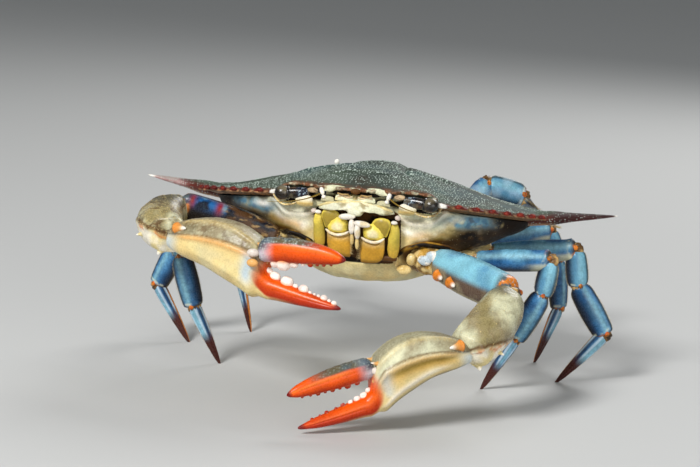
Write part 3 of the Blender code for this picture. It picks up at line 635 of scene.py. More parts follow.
def on_margin(degrees, share):
    """Place on the oval of the toothed margin, at a share of its size."""
    angle = np.radians(degrees)
    flat = np.stack([MARGIN_HALF_WIDTH * np.cos(angle), -MARGIN_HALF_LENGTH * np.sin(angle)], axis=-1)
    return flat * np.asarray(share)[..., None]


def dome_height(x, y, edge, share):
    """Height of the shell's upper side at a share of the way from its middle to its edge."""
    sideways = np.abs(x) / (np.abs(x) + np.abs(y))
    forward_fall = share ** FORWARD_POWER
    sideways_fall = 1 - (1 - share ** SIDEWAYS_POWER) ** 2
    return DOME_TOP + (edge - DOME_TOP) * (forward_fall + sideways * (sideways_fall - forward_fall))


def shell_edge():
    """Edge of the shell all the way round: toothed edge, smooth edge, height, and how near each
    point is to the tip of a tooth."""
    brow = np.array(FRONT_EDGE + ORBIT_EDGE, float)
    brow_path = through(brow, 90)
    brow_inner = brow_path[:, :2] + np.array((0, 1.1))
    brow_inner[:, 1] = np.maximum(brow_inner[:, 1], -29.6)
    degrees = np.linspace(FIRST_TOOTH + 1.6, LAST_TOOTH - NOTCH_PLACE * TOOTH_STEP, 260)
    place = (FIRST_TOOTH - degrees) / TOOTH_STEP
    number = np.clip(np.floor(place + (1 - NOTCH_PLACE)), 0, TOOTH_COUNT - 1)
    off = place - number
    behind = np.clip(off / NOTCH_PLACE, 0, 1)
    ahead = np.clip(-off / (1 - NOTCH_PLACE), 0, 1)
    tooth = (1 - behind ** 1.35) * (1 - ahead ** 0.9)
    outer = on_margin(degrees, NOTCH_SHARE + (1 - NOTCH_SHARE) * tooth)
    inner = on_margin(degrees, np.full(len(degrees), SMOOTH_SHARE))
    tooth_z = FIRST_TOOTH_Z + (LAST_TOOTH_Z - FIRST_TOOTH_Z) * np.clip(place / (TOOTH_COUNT - 1), 0, 1)
    curve = bow_path(SIDE_CORNER, HIND_CONTROL, HIND_CORNER, 60)
    notch = on_margin(np.array([SPINE_NOTCH]), np.array([SPINE_NOTCH_SHARE]))
    hind = np.concatenate([through(np.concatenate([notch, curve[:1]]), 12)[:-1], curve,
                           through(np.array(HIND_EDGE), 60)])
    flat = np.zeros(len(hind))
    left = [np.concatenate([brow_path[:, :2], outer, hind]),
            np.concatenate([brow_inner, inner, hind * HIND_SHARE]),
            np.concatenate([brow_path[:, 2], tooth_z, flat + HIND_Z]),
            np.concatenate([np.zeros(len(brow_path)), tooth, flat])]
    flip = np.array((-1.0, 1.0))
    return [np.concatenate([part, part[-2:0:-1] * (flip if part.ndim == 2 else 1)]) for part in left]


def terrain(x, y):
    """Swellings, furrows and beaded ridges of the shell's regions."""
    x = np.abs(x)
    height = 0.5 * hump(x, 0, 11) * hump(y, -14, 7)
    height += 0.8 * hump(x, 25, 13) * hump(y, 6, 11)
    height += 0.5 * hump(x, 3.4, 3.0) * hump(y, 11, 5)
    height += 0.3 * hump(x, 0, 6) * hump(y, -2, 3)
    furrow = smooth(y, (-12, -6, 0, 6, 13, 22), (13.5, 9.5, 8.5, 7.0, 8.5, 11.0))
    height -= 0.75 * hump(x, furrow, 1.3) * rise(y, -13, -7) * (1 - rise(y, 16, 23))
    height -= 0.45 * hump(y, 3.6, 0.9) * (1 - rise(x, 5, 7.5))
    ridge = smooth(x, (9, 20, 35, 54), (-5.6, -4.0, -2.6, -4.6))
    height += 0.55 * hump(y, ridge, 0.75) * rise(x, 10, 15) * (1 - rise(x, 50, 56))
    height += 0.35 * hump(y, -16.5 - 0.02 * x ** 2, 0.7) * rise(x, 1.5, 3) * (1 - rise(x, 8, 12))
    return height


def brow_rim():
    """Beaded rim along the shell's front edge, from one eye socket to the other."""
    edge = through(np.array(FRONT_EDGE + ORBIT_EDGE, float), 120)
    edge = np.concatenate([edge[::-1] * np.array((-1, 1, 1)), edge[1:]]) + np.array((0, 0.25, -0.55))
    wave = 0.48 + 0.1 * np.sin(np.arange(len(edge)) * 0.35)
    rim = rope(edge, wave * ends(len(edge), 0.1), "edge", sides=12)
    rim.paint("bone", 0.8 * rim.patches(2.2, 5, -0.2, 0.2))
    rim.paint("shell_brown", 0.6 * rim.patches(1.5, 6, 0.0, 0.4))
    return rim.granulate(0.55, 0.12, "tooth_pale", 0.5)


def margin_beads(side):
    """Dark red bead on the tip of each tooth of the margin."""
    made = []
    for number in range(1, TOOTH_COUNT):
        x, y = on_margin(np.array([FIRST_TOOTH - number * TOOTH_STEP]), 0.98)[0]
        z = FIRST_TOOTH_Z + (LAST_TOOTH_Z - FIRST_TOOTH_Z) * number / (TOOTH_COUNT - 1)
        outward = unit((side * x / MARGIN_HALF_WIDTH ** 2, y / MARGIN_HALF_LENGTH ** 2, 0))
        turn = np.column_stack([np.cross(outward, UP), -outward, UP])
        bead = knob((side * x, y, z - 0.05), (1.25, 0.95, 0.8), "tooth", turn, rings=16, sides=22)
        bead.paint("deep_orange", 0.45 * bead.patches(1.1, 6, 0.0, 0.4))
        made.append(bead.paint("tooth_pale", 0.6 * rise(-bead.above, 0.3, 0.9)))
    return made


def side_spine(side):
    """Long side spine with its grains, pale on the right and dark on the left."""
    root, tip = mirrored(SPINE_ROOT, side), mirrored(SPINE_TIP, side)
    skin = limb(root, tip, UP, SPINE, (SPINE_HEIGHT, SPINE_WIDTH), rings=110, sides=64, squareness=1.0,
                caps=(0.02, 0.02))
    skin.paint("shell")
    skin.paint("shell_brown", rise(skin.share, 0.25, 0.5))
    skin.paint("tooth", 0.8 * rise(skin.front, 0.4, 0.9) * (1 - rise(skin.share, 0.5, 0.7)))
    skin.paint("tooth_pale", 0.8 * rise(-skin.above, 0.2, 0.8) * (1 - rise(skin.share, 0.35, 0.7)))
    blotch = skin.patches(3, 6, 0.0, 0.6)
    if side < 0:
        skin.paint("spine_pink", rise(skin.share, 0.4, 0.6))
        skin.paint("spine_dark", 0.6 * blotch * rise(skin.share, 0.3, 0.5))
        skin.paint("grain", 0.3 * rise(skin.above, -0.2, 0.5) * rise(skin.share, 0.5, 0.7))
        skin.paint("white", rise(skin.share, 0.88, 0.95))
    else:
        skin.paint("spine_dark", rise(skin.share, 0.2, 0.4))
        skin.paint("tooth", 0.6 * rise(-skin.above, 0.0, 0.6) * rise(skin.share, 0.3, 0.5))
        skin.paint("spine_pink", 0.2 * hump(skin.above, 0.3, 0.3) * rise(skin.share, 0.4, 0.6) * blotch)
        skin.paint("white", rise(skin.share, 0.95, 0.99))
    skin.swell(0.25 * hump(skin.above, 0.1, 0.25) * (1 - skin.share))
    crowd = (0.9 if side < 0 else 0.55) - 0.5 * rise(skin.share, 0.75, 0.95)
    return [skin, beads(skin, 0.75, 0.16, "grain", crowd, seed=3, sides=5)]


DOME_ROWS, TOOTH_ROWS = 150, 13


def carapace_rows(outer, inner, z, tooth):
    """Rows from the middle of the shell's back, over its toothed edge, to the middle below."""
    x, y = inner[:, 0], inner[:, 1]
    rows = [np.stack([x * share, y * share, dome_height(x, y, z, share)], axis=-1)
            for share in np.linspace(0.012, 1, DOME_ROWS)]
    for part in np.linspace(0.08, 1, TOOTH_ROWS):
        flat = inner + (outer - inner) * part
        height = z - 0.3 * RIM * part ** 2 + 0.5 * tooth * np.sin(math.pi * min(1, part * 0.8))
        rows.append(np.column_stack([flat, height]))
    for drop in (0.12, 0.36, 0.54, 0.63):
        out = 1 + 0.004 * math.sin(math.pi * drop / 0.63)
        rows.append(np.column_stack([outer * out, z - 0.3 * RIM - drop]))
    for part in (0.75, 0.4, 0.0):
        rows.append(np.column_stack([inner + (outer - inner) * part, z - RIM - 0.25 * (1 - part)]))
    for share in (0.96, 0.9, 0.8, 0.5, 0.02):
        height = DOME_UNDERSIDE + (z - 2 * RIM - DOME_UNDERSIDE) * share
        rows.append(np.stack([x * share, y * share, height], axis=-1))
    return rows


def paint_margin(skin, row, on_top, tooth):
    """Brown and red edge with its teeth. row counts from the end of the dome."""
    px, py = skin.points[..., 0], skin.points[..., 1]
    edge = rise(row, -12, -2) * on_top * rise(-py, 4, 12)
    skin.paint("shell_brown", edge * 0.8)
    skin.paint("edge", edge * skin.patches(2.2, 4, -0.2, 0.7))
    skin.granulate(0.7, 0.13, "edge", 0.7, edge, seed=2)
    # Under the teeth: shell brown as painted shade under the margin's overhang, with tan patches near the
    # tips, stronger on the right
    under_teeth = (row > TOOTH_ROWS - 2) * (np.abs(px) > 24) * (py < -4)
    skin.paint("shell_brown", under_teeth)
    skin.paint("tooth_pale", under_teeth * rise(tooth, -0.2, 0.3) * np.where(px < 0, 0.85, 0.35)
               * skin.patches(1.8, 9, -0.7, 0.0))
    tips = np.clip(row / TOOTH_ROWS, 0, 1) * (row < TOOTH_ROWS + 1)
    skin.paint("tooth", tips * rise(tooth, 0.05, 0.5))
    for side in SIDES.values():
        skin.paint("white", skin.near((side * 26, -29.3, -0.5), (2.0, 1.8, 2.4)))


def make_carapace():
    """Shell with its relief, toothed margin, side spines and grains."""
    outer, inner, z, tooth = shell_edge()
    skin = Skin(carapace_rows(outer, inner, z, tooth), colour="shell")
    row = np.arange(len(skin.points))[:, None] * np.ones(len(z)) - DOME_ROWS
    on_top = (row < TOOTH_ROWS - 1) * 1.0
    inland = on_top * (1 - rise(row, -12, 0))
    px, py = skin.points[..., 0], skin.points[..., 1]
    skin.points[..., 2] += terrain(px, py) * inland
    flat_points = skin.points * np.array((1, 1, 0.2))
    skin.paint("shell_dark", 0.8 * patches(flat_points, 15, 3, -0.1, 0.7))
    skin.paint("shell_blue", 0.6 * patches(flat_points, 11, 5, 0.0, 0.7))
    skin.paint("shell_brown", 0.5 * patches(flat_points, 9, 8, 0.15, 0.9))
    skin.swell(0.05 * cloud(skin.points, 1.6, 4) * on_top)
    paint_margin(skin, row, on_top, tooth)
    crowd = inland * (0.6 + 0.4 * patches(flat_points, 10, 15, -0.5, 0.3)) * (1 - 0.6 * rise(-py, 23, 29))
    ridges = inland * rise(terrain(px, py) - terrain(px, py - 1.6), 0.12, 0.3)
    wart = knob((-14.6, 4.6, dome_height(-14.6, 4.6, HIND_Z, 0.3) + 0.7), (0.8, 0.8, 0.9), "white")
    skins = [skin, beads(skin, 0.8, 0.185, "grain", crowd, seed=5, sides=5),
             beads(skin, 1.1, 0.34, "grain", ridges, seed=6), brow_rim(), wart]
    for side in SIDES.values():
        skins += side_spine(side) + margin_beads(side)
    make("carapace_skin", skins, "carapace", ["carapace"])


# ---- Body ------------------------------------------------------------------------------------


def body_rows():
    """Rows from the middle below the shell, down the flanks, to the middle of the breastplate."""
    _, inner, z, _ = shell_edge()
    x, y = inner[:, 0], inner[:, 1]
    rows = [np.stack([x * s, y * s, DOME_UNDERSIDE + (z - 2 * RIM - DOME_UNDERSIDE) * s - 0.3], axis=-1)
            for s in (0.02, 0.5, 0.8)]
    table = np.array(BODY_RINGS)
    down = np.linspace(0, 1, 130)
    shrink = smooth(down, table[:, 0], table[:, 1:])
    soft_x, soft_y, soft_z = (softened(values, 45) for values in (x, y, z))
    for share, (across, ahead, behind) in zip(down, shrink):
        blend = rise(share, 0.0, 0.16)
        wide, long = x + (soft_x - x) * blend, y + (soft_y - y) * blend
        edge = z + (soft_z - z) * blend
        inset = 0.94 + 0.06 * rise(share, 0, 0.05)
        upper = DOME_UNDERSIDE + (edge - 2 * RIM - DOME_UNDERSIDE) * inset - 0.3
        lengthways = np.where(long < 0, ahead, behind)
        height = upper + (BODY_BOTTOM - upper) * share
        rows.append(np.stack([wide * across, long * lengthways, height], axis=-1))
    rows.append(np.stack([x * 0.1, y * 0.2, np.full(len(x), BODY_BOTTOM)], axis=-1))
    return rows


def body_regions(points):
    """Masks of the body's regions: the crest under each eye, the hollow over it, the sockets."""
    px, py, pz = points[..., 0], points[..., 1], points[..., 2]
    out, forward = np.abs(px), rise(-py, 8, 16)
    crest_z = smooth(out, (12.8, 17.2, 21.8, 25.9, 29.5), (-5.6, -7.3, -7.1, -3.8, -1.6))
    on_face = rise(out, 12.2, 13.4) * (1 - rise(out, 25.5, 29)) * forward
    claw_centre = np.sign(px)[..., None] * (22, 0, 0) + (0, -24, -18.0)
    shallow = (1 - ((out - ORBIT_CENTRE[0]) / ORBIT_RADII[0]) ** 2
               - ((pz - ORBIT_CENTRE[2]) / ORBIT_RADII[2]) ** 2)
    box = ((out / (MOUTH_SIZE[0] / 2 - 0.4)) ** 6
           + (np.abs(pz - MOUTH_CENTRE[2]) / (MOUTH_SIZE[2] / 2)) ** 6)
    return SimpleNamespace(
        points=points, px=px, py=py, pz=pz, out=out, forward=forward, crest_z=crest_z,
        crest=hump(pz, crest_z, 1.35) * on_face,
        hollow=rise(pz, crest_z + 0.3, crest_z + 1.6) * (1 - rise(pz, -3.6, -2.6)) * on_face,
        pocket=rise(out, 5.0, 6.5) * (1 - rise(out, 13.4, 14.6)) * hump(pz, -1.6, 1.1) * forward,
        claw_socket=1 - rise(np.linalg.norm((points - claw_centre) / (9.5, 9.0, 4.6), axis=-1), 0.75, 1.0),
        orbit_back=ORBIT_CENTRE[1] + ORBIT_RADII[1] * np.sqrt(np.clip(shallow, 0, 1)),
        in_orbit=(shallow > 0) & (py < -20),
        in_mouth=(box < 1) & (py < -18),
        flank=forward * rise(out, 12, 16),
        over_edge=pz - smooth(out, (12, 20, 28, 41, 54), (-15.0, -13.2, -12.4, -10.5, -6.0)),
        patches=lambda size, seed, low, high: patches(points, size, seed, low, high))


def shape_body(skin, at):
    """Raises the crests and hollows out the sockets of eyes, claws and mouth."""
    skin.swell(0.85 * at.crest - 1.0 * at.hollow - 1.6 * at.claw_socket)
    skin.points[..., 1] += 1.8 * at.pocket
    slope = math.tan(math.radians(MOUTH_TILT))
    mouth_back = MOUTH_CENTRE[1] + 3.0 - slope * (at.pz - MOUTH_CENTRE[2])
    new_y = skin.points[..., 1]
    new_y[:] = np.where(at.in_orbit, np.maximum(at.py, at.orbit_back), new_y)
    new_y[:] = np.where(at.in_mouth, np.maximum(at.py, mouth_back), new_y)


def paint_face(skin, at):
    """Bone and white round the eyes and beside the mouth, with olive shades and a painted highlight along
    each crest.
    """
    skin.paint("straw", 0.6 * at.flank)
    skin.paint("bone", 0.7 * at.patches(9, 2, -0.2, 0.5) * rise(at.pz, at.crest_z - 3, at.crest_z))
    skin.paint("bone", at.hollow)
    skin.paint("mouth_olive", 0.35 * at.hollow * at.patches(3, 22, -0.2, 0.5))
    skin.paint("olive", 0.75 * at.flank * hump(at.pz, at.crest_z - 1.9, 0.7) * rise(at.out, 16, 22)
               * at.patches(4, 23, -0.5, 0.2))
    inner_face = at.flank * (1 - rise(at.out, 24, 28))
    skin.paint("bone", 0.85 * inner_face * hump(at.pz, -8.8, 2.6))
    skin.paint("white", 0.9 * inner_face * hump(at.pz, at.crest_z - 3.4, 1.5) * at.patches(6, 5, -0.6, 0.2))
    # White along the crest under each eye: painted highlight
    skin.paint("white", 0.55 * at.crest)


def paint_flanks(skin, at):
    """Gold and brown lower edge, dark outer corner, blue patch, and a painted highlight beside the blue
    patch.
    """
    out, pz, flank, over_edge = at.out, at.pz, at.flank, at.over_edge
    skin.paint("gold", 0.7 * flank * hump(over_edge, 2.6, 1.5) * at.patches(5, 12, -0.4, 0.4))
    skin.paint("olive", 0.95 * flank * rise(out, 15, 22) * (1 - rise(over_edge, 0.8, 3.2))
               * at.patches(4, 13, -0.5, 0.2))
    skin.paint("brown", 0.95 * flank * rise(out, 14, 19) * (1 - rise(over_edge, 0.3, 1.8)))
    skin.paint("olive", 0.8 * at.forward * hump(out, 29.5, 3.5) * hump(pz, -8.8, 0.9)
               * at.patches(2, 15, -0.4, 0.2))
    skin.paint("stain_and_shade", 0.95 * rise(out, 26, 32) * (1 - rise(over_edge, 0.4, 3.0))
               * at.patches(3.5, 18, -0.6, 0))
    skin.paint("shell_brown", rise(out, 35, 42) * at.patches(6, 16, -1.0, -0.4))
    skin.paint("stain_and_shade", rise(out, 35, 42) * at.patches(3, 17, -0.9, -0.2))
    drift = 2.6 * cloud(at.points, 6, 51)
    blue_patch = hump(out + drift, 34.0, 6.5) * hump(pz + 0.6 * drift, -6.2, 2.0) * at.forward
    blue_patch = blue_patch * (1 - rise(out, 38, 44))
    skin.paint("flank_blue", 0.4 * flank * rise(out, 21, 27) * hump(pz, -5.0, 2.6) * (1 - rise(out, 33, 40)))
    skin.paint("flank_blue", 1.7 * blue_patch * at.patches(3.5, 7, -0.9, 0.0))
    skin.paint("blue", 0.55 * blue_patch * at.patches(2.2, 27, -0.1, 0.3))
    skin.paint("shell_brown", 0.5 * blue_patch * at.patches(1.6, 53, 0.1, 0.4))
    skin.paint("brown", flank * hump(out + drift, 34, 7) * hump(over_edge, 1.8, 2.0))
    skin.paint("stain_and_shade", 1.2 * flank * hump(out + drift, 34, 6) * hump(over_edge, 1.2, 2.0)
               * at.patches(2.4, 52, -0.7, -0.1))
    # Painted highlight on the flank's corner, strong on the right and faint on the left
    corner = at.forward * hump(out, 30.5, 2.6) * hump(pz, -5.3, 1.0)
    skin.paint("white", corner * np.where(at.px < 0, 0.9, 0.1))


def paint_sockets(skin, at):
    """Painted shade: dark insides of the sockets of claws, eyes and mouth, of the pocket over the mouth, and
    of the flank under the shell's margin.
    """
    skin.paint("brown", 0.95 * at.claw_socket)
    skin.paint("stain_and_shade", at.claw_socket * at.patches(3, 33, -0.3, 0.3))
    shaded_under_margin = rise(at.out, 26, 28) * rise(at.pz, -3.4 - 0.08 * (at.out - 26), -2.6)
    skin.paint("shell_brown", 0.9 * at.forward * shaded_under_margin)
    skin.paint("stain_and_shade", np.maximum(at.in_orbit, at.in_mouth))
    skin.paint("brown", 0.7 * at.in_mouth * at.patches(2.5, 35, -0.3, 0.3))
    skin.paint("stain_and_shade", 1.4 * at.pocket)


def paint_breastplate(skin, at):
    """Pale breastplate with its sutures."""
    belly = rise(-at.pz, 20, 25) * (1 - at.claw_socket)
    skin.paint("bone", 0.5 * belly)
    skin.paint("straw", 0.85 * belly * at.patches(7, 19, -0.6, 0.3))
    behind_mouth = at.py > -16
    sutures = hump(np.mod(at.py + 3, 9.0), 4.5, 0.35) * belly * rise(at.out, 4, 7) * behind_mouth
    middle = hump(at.out, 0, 0.5) * belly * behind_mouth
    skin.swell(-0.5 * sutures - 0.4 * middle)
    skin.paint("brown", 0.6 * np.maximum(sutures, middle))


def socket_arches():
    """Brown-lined arches over the sockets of the claws."""
    made = []
    for side in SIDES.values():
        points = ((11.8, -24.6, -18.6), (14.5, -24.9, -15.6), (20.5, -24.6, -13.4), (26.5, -22.6, -14.2),
                  (30.0, -18.5, -16.4))
        path = side_path(points, side, 60)
        arch = rope(path, 0.75 * ends(60, 0.5), "stain_and_shade")
        arch.paint("gold", 0.4 * arch.patches(3, 2, 0, 0.6))
        lip = rope(path + np.array((0, -0.3, 0.7)), 0.32 * ends(60, 0.5), "brown" if side > 0 else "stain_and_shade")
        made += [arch, lip.paint("gold", 0.6 * lip.patches(4, 3, 0.0, 0.5))]
    return made


def mouth_ridge():
    """Broad plate and rounded band over the mouth, with the point between the feelers."""
    ridge = through([(-11.4, -30.2, -3.6), (-8.0, -31.2, -2.5), (-4.4, -31.7, -2.1), (-1.8, -32.0, -1.5),
                     (1.8, -32.0, -1.5), (4.4, -31.7, -2.1), (8.0, -31.2, -2.5), (11.4, -30.2, -3.6)], 110)
    outline = ((-11.6, -1.6), (-10.4, 0.1), (-6.5, 1.0), (-3.5, 1.3), (-1.4, 1.9), (1.4, 1.9), (3.5, 1.3),
               (6.5, 1.0), (10.4, 0.1), (11.6, -1.6), (8.6, -2.0), (5.0, -1.5), (2.9, -1.7), (1.6, -3.0),
               (-1.6, -3.0), (-2.9, -1.7), (-5.0, -1.5), (-8.6, -2.0))
    broad = plate(outline, 1, (0.2, -30.9, -2.7), 1.5, "bone", crown=7, count=160)
    broad.points[..., 1] += 0.013 * broad.points[..., 0] ** 2 - 0.5
    broad.swell(0.3 * cloud(broad.points, 2.2, 41))
    broad.paint("white", 0.25 * broad.patches(3.0, 43, 0.0, 0.5))
    broad.paint("olive", 0.7 * broad.patches(2.0, 45, 0.15, 0.5))
    band = rope(ridge, 0.55 * ends(110, 0.3), "cream", sides=20)
    band.swell(0.12 * cloud(band.points, 1.6, 41))
    return [broad, band.paint("white", 0.35 * band.patches(3.0, 7, 0.0, 0.5)),
            knob((0.5, -31.9, -4.3), (1.9, 0.9, 1.3), "bone").paint("white", 0.2),
            knob((0.1, -32.0, -2.3), (1.1, 0.8, 0.9), "cream"),
            knob((0, -31.4, 1.7), (1.5, 0.7, 0.9), "brown").granulate(0.5, 0.14, "edge", 0.8)]


def orbit_rim(side):
    """Rim under the eye, and the lobe and lump at its inner end."""
    points = ((17.6, -30.7, -3.0), (19.4, -30.7, -3.8), (21.8, -30.2, -4.2), (24.4, -29.4, -3.1),
              (26.0, -28.9, -1.2))
    cup = rope(side_path(points, side, 80), 0.3 * ends(80, 0.3), "straw").granulate(0.6, 0.08, "white", 0.6)
    cup.paint("brown", 0.6 * cup.patches(2, 5, 0, 0.5))
    outline = ((-2.6, -1.6), (-2.4, 0.5), (-0.6, 1.3), (1.4, 0.8), (2.8, -0.2), (2.4, -1.6), (0.0, -2.2))
    lobe = plate(outline, side, mirrored((15.7, -30.5, -2.1), side), 1.0, "cream")
    lobe.paint("white", 0.7 * rise(lobe.above, -0.3, 0.6))
    lobe.paint("gold", 0.5 * hump(lobe.above, -0.35, 0.2))
    lobe.granulate(0.6, 0.12, "white", 0.6, rise(lobe.above, 0.2, 0.7))
    lump = knob(mirrored((13.2, -30.3, 0.9), side), (1.7, 0.9, 0.8), "spine_pink").paint("cream", 0.5)
    return [cup, lobe, lump.granulate(0.7, 0.14, "brown", 0.6)]


def feeler_plates(side):
    """Small plates round the roots of the feelers, and a near-black lump as painted shade in the gap between
    them.
    """
    outline = ((-3.4, 0.1), (-2.6, 1.2), (0.0, 1.4), (3.0, 0.8), (3.6, -0.5), (1.6, -0.8), (-0.4, -0.2))
    front = plate(outline, side, mirrored((6.2, -31.2, 1.7), side), 0.7, "bone")
    front.swell(0.12 * cloud(front.points, 1.2, 44))
    front.paint("olive", 0.6 * front.patches(2, 6, 0.0, 0.5))
    outline = ((-2.6, -0.8), (-2.4, 0.7), (-0.6, 0.6), (0.8, 1.1), (2.6, 0.5), (2.9, -0.8), (0.2, -1.1))
    flap = plate(outline, side, mirrored((3.3, -31.4, -0.5), side), 0.6, "bone")
    flap.paint("cream", 0.7 * flap.patches(1.5, 9, -0.1, 0.4))
    outline = ((-2.0, -0.7), (-1.6, 0.6), (0.2, 0.9), (2.0, 0.2), (2.2, -0.7), (0.2, -0.9))
    outer_flap = plate(outline, side, mirrored((8.4, -31.0, -1.3), side), 0.6, "bone")
    outer_flap.paint("olive", 0.4)
    points = ((0.8, -31.9, 0.1), (2.2, -32.0, -0.1), (3.6, -32.0, 0.3), (5.4, -31.8, -0.2))
    lip = rope(side_path(points, side, 40), 0.26 * ends(40, 0.3), "gold")
    lip.paint("white", 0.4)
    # Near-black lump: painted shade in the slit beside the feeler's root
    gap_shade = knob(mirrored((4.4, -30.4, 1.0), side), (3.2, 0.6, 0.9), "stain_and_shade")
    corner = knob(mirrored((12.9, -29.5, -5.4), side), (0.9, 0.8, 0.8), "palp").paint("spine_pink", 0.4)
    return [front, flap, outer_flap, lip, gap_shade, corner]


def face_plates():
    """Ridge over the mouth, rims of the eye sockets, and the plates between them."""
    made = mouth_ridge()
    for side in SIDES.values():
        made += orbit_rim(side) + feeler_plates(side)
    return made


def make_body():
    """Flanks, face and breastplate, with the eye sockets and the mouth's frame hollowed out."""
    skin = Skin(body_rows(), colour="cream")
    regions = body_regions(skin.points.copy())
    shape_body(skin, regions)
    paint_face(skin, regions)
    paint_flanks(skin, regions)
    paint_sockets(skin, regions)
    paint_breastplate(skin, regions)
    skin.swell(0.18 * cloud(skin.points, 5, 21) * (skin.points[..., 1] > -26))
    outer = rise(np.abs(skin.points[..., 0]), 15, 22) * (skin.points[..., 2] < -5)
    crowd = 0.25 * outer * rise(-skin.points[..., 1], 8, 14)
    skins = [skin, beads(skin, 1.0, 0.12, "tan", crowd, seed=31)]
    make("thorax_skin", skins + socket_arches() + face_plates(), "flank", ["thorax"])


def make_apron():
    """Broad apron with the grooves between its rings."""
    length = np.linspace(0, 1, 90)
    rows = smooth(length, np.linspace(0, 1, len(APRON)), np.array(APRON))
    angle = np.linspace(0, 2 * math.pi, 80, endpoint=False)
    across, face = np.cos(angle), np.sin(angle)
    points, shares = [], []
    for share, (y, z, half) in zip(length, rows):
        flat = rise(-z, 22, 27)
        outward = unit((0, (1 - flat) * y, (1 - flat) * (0.6 * z + 9.6) - flat))
        swell = 0.75 * np.sign(face) * np.abs(face) ** 0.5
        rim = 1.6 * across ** 2
        points.append(np.column_stack([half * across, np.full_like(across, y), np.full_like(across, z)])
                      + (swell - rim)[:, None] * outward)
        shares.append(np.full_like(across, share))
    skin = Skin(points, np.array(shares), colour="bone")
    out = skin.normals()[..., 2]
    groove = hump(np.mod(skin.share * 6.6, 1.0), 0.5, 0.07)
    skin.points += np.array((0, 0, 1.0)) * (0.35 * groove * (out < 0))[..., None]
    skin.paint("cream", 0.6 * skin.patches(9, 4, -0.2, 0.6))
    skin.paint("brown", 0.45 * groove)
    skin.paint("pale_blue", 0.4 * skin.patches(7, 11, 0.1, 0.8))
    make("abdomen_skin", [skin], "underside", ["abdomen"])


# ---- Head ------------------------------------------------------------------------------------


def make_eyes():
    """Eyes on their short stalks."""
    for name, side in SIDES.items():
        inner, outer = mirrored(EYE_INNER, side), mirrored(EYE_OUTER, side)
        along, upward, sideways = axes(outer - inner, UP)
        turn = np.column_stack([along, sideways, upward])
        bulb = knob(outer - along * 0.3, (2.45, 2.2, 2.25), "eye", turn, rings=40, sides=52)
        local = (bulb.points - outer) @ np.column_stack([along, (0, -1, 0), UP])
        # Painted light and shade on the eye: lighter towards the top, brown underneath
        bulb.paint("eye_top", 0.85 * rise(local[..., 2] - 0.5 * local[..., 0], -0.2, 1.9))
        bulb.paint("brown", 0.7 * rise(-local[..., 2], 0.9, 1.9))
        stalk = limb(inner, outer - along * 1.4, UP, ((0, 0.8, 0.8), (0.4, 1, 1), (1, 0.9, 0.9)), (3.5, 3.2),
                     rings=70, sides=40)
        stalk.paint("navy")
        dots = 1 - rise(grains(stalk.points, 0.75, 3), 0.15, 0.4)
        stalk.paint("pale_blue", dots * (1 - rise(stalk.share, 0.4, 0.5)))
        # Near-black end of the stalk beside the eye: painted shade in the gap there
        stalk.paint("stain_and_shade", rise(stalk.share, 0.5, 0.58))
        stalk.paint("brown", 0.6 * rise(stalk.share, 0.56, 0.62) * stalk.patches(1.2, 8, 0.0, 0.5))
        stalk.paint("eye_top", 0.5 * stalk.patches(1.8, 9, 0.0, 0.4))
        # Near-black collar between stalk and eye: painted shade in that gap
        collar = knob(outer - along * 2.0, (0.9, 2.0, 2.05), "stain_and_shade", turn)
        make(f"eye_{name}_skin", [bulb, stalk, collar], "eye", [f"eye_{name}"])


def make_feelers():
    """Antennae under the eyes, and the folded, ringed antennules beside the middle line."""
    for name, side in SIDES.items():
        t = np.linspace(0, 1, 120)
        path = bow_path(*(mirrored(point, side) for point in (FEELER_START, FEELER_BEND, FEELER_END)), len(t))
        whip = rope(path, (0.26 - 0.21 * t) * (1 + 0.14 * np.sin(t * 300)), "olive")
        whip.paint("brown", 0.7 * rise(np.sin(whip.share * 150), 0.2, 0.8))
        turn = Matrix.Rotation(math.radians(18 * side), 3, "Y")
        peg = knob(mirrored((10.2, -31.4, 1.0), side), (0.7, 0.7, 1.35), "white", turn)
        ring = knob(mirrored((10.3, -30.9, 0.9), side), (1.15, 0.6, 1.7), "navy", turn)
        joint = knob(mirrored((9.6, -31.3, -0.7), side), (0.7, 0.7, 0.6), "palp")
        small = side_path(((1.6, -31.9, 0.0), (2.2, -32.5, 0.8), (3.6, -32.7, 0.7), (5.2, -32.3, 0.9)),
                          side, 60)
        ringed = 0.26 * (1 + 0.2 * np.sin(np.linspace(0, 90, 60)))
        antennule = rope(small, ringed, "membrane")
        antennule.paint("shell_dark", 0.7 * rise(np.sin(antennule.share * 90), 0.1, 0.8))
        skins = [whip, peg, ring, joint, antennule]
        make(f"antenna_{name}_skin", skins, "underside", [f"antenna_{name}"])


JAW_TILT = Matrix.Rotation(math.radians(MOUTH_TILT), 3, "X")
COMB_HAIRS = 90


def on_jaw(side, x, y, z):
    """Place on an outer jaw foot, measured from the seam between its two large plates."""
    seam = np.array((0.3, SEAM_Y, SEAM_HEIGHTS["left" if side > 0 else "right"]))
    return seam + np.array(JAW_TILT @ Vector((side * x, y, z)))


def jaw_leaf(side, outline, y, thickness, colour):
    """One of the flat plates of an outer jaw foot."""
    return plate(outline, side, on_jaw(side, 0, y, 0), thickness, colour, JAW_TILT)


def jaw_ischium(side):
    """Lower plate, brown along its outline and lower edge as painted shade where it meets the parts round it.
    """
    outline = ((1.5, 0.6), (4.6, -0.5), (6.6, -0.5), (8.8, 0.7), (8.9, -2.0), (8.3, -5.6), (6.0, -7.2),
               (1.9, -7.4), (1.2, -4.0))
    made = jaw_leaf(side, outline, -0.4, 1.1, "gold")
    made.paint("straw", 0.75 * rise(made.above, 0.1, 0.9))
    made.paint("brown", 0.2 * made.patches(3, 3, -0.2, 0.4))
    # Brown along the lower edge and the outline: painted shade
    return made.paint("brown", 0.45 * rise(-made.above, 0.6, 1.0) + 0.5 * rise(made.share, 0.93, 1.0))


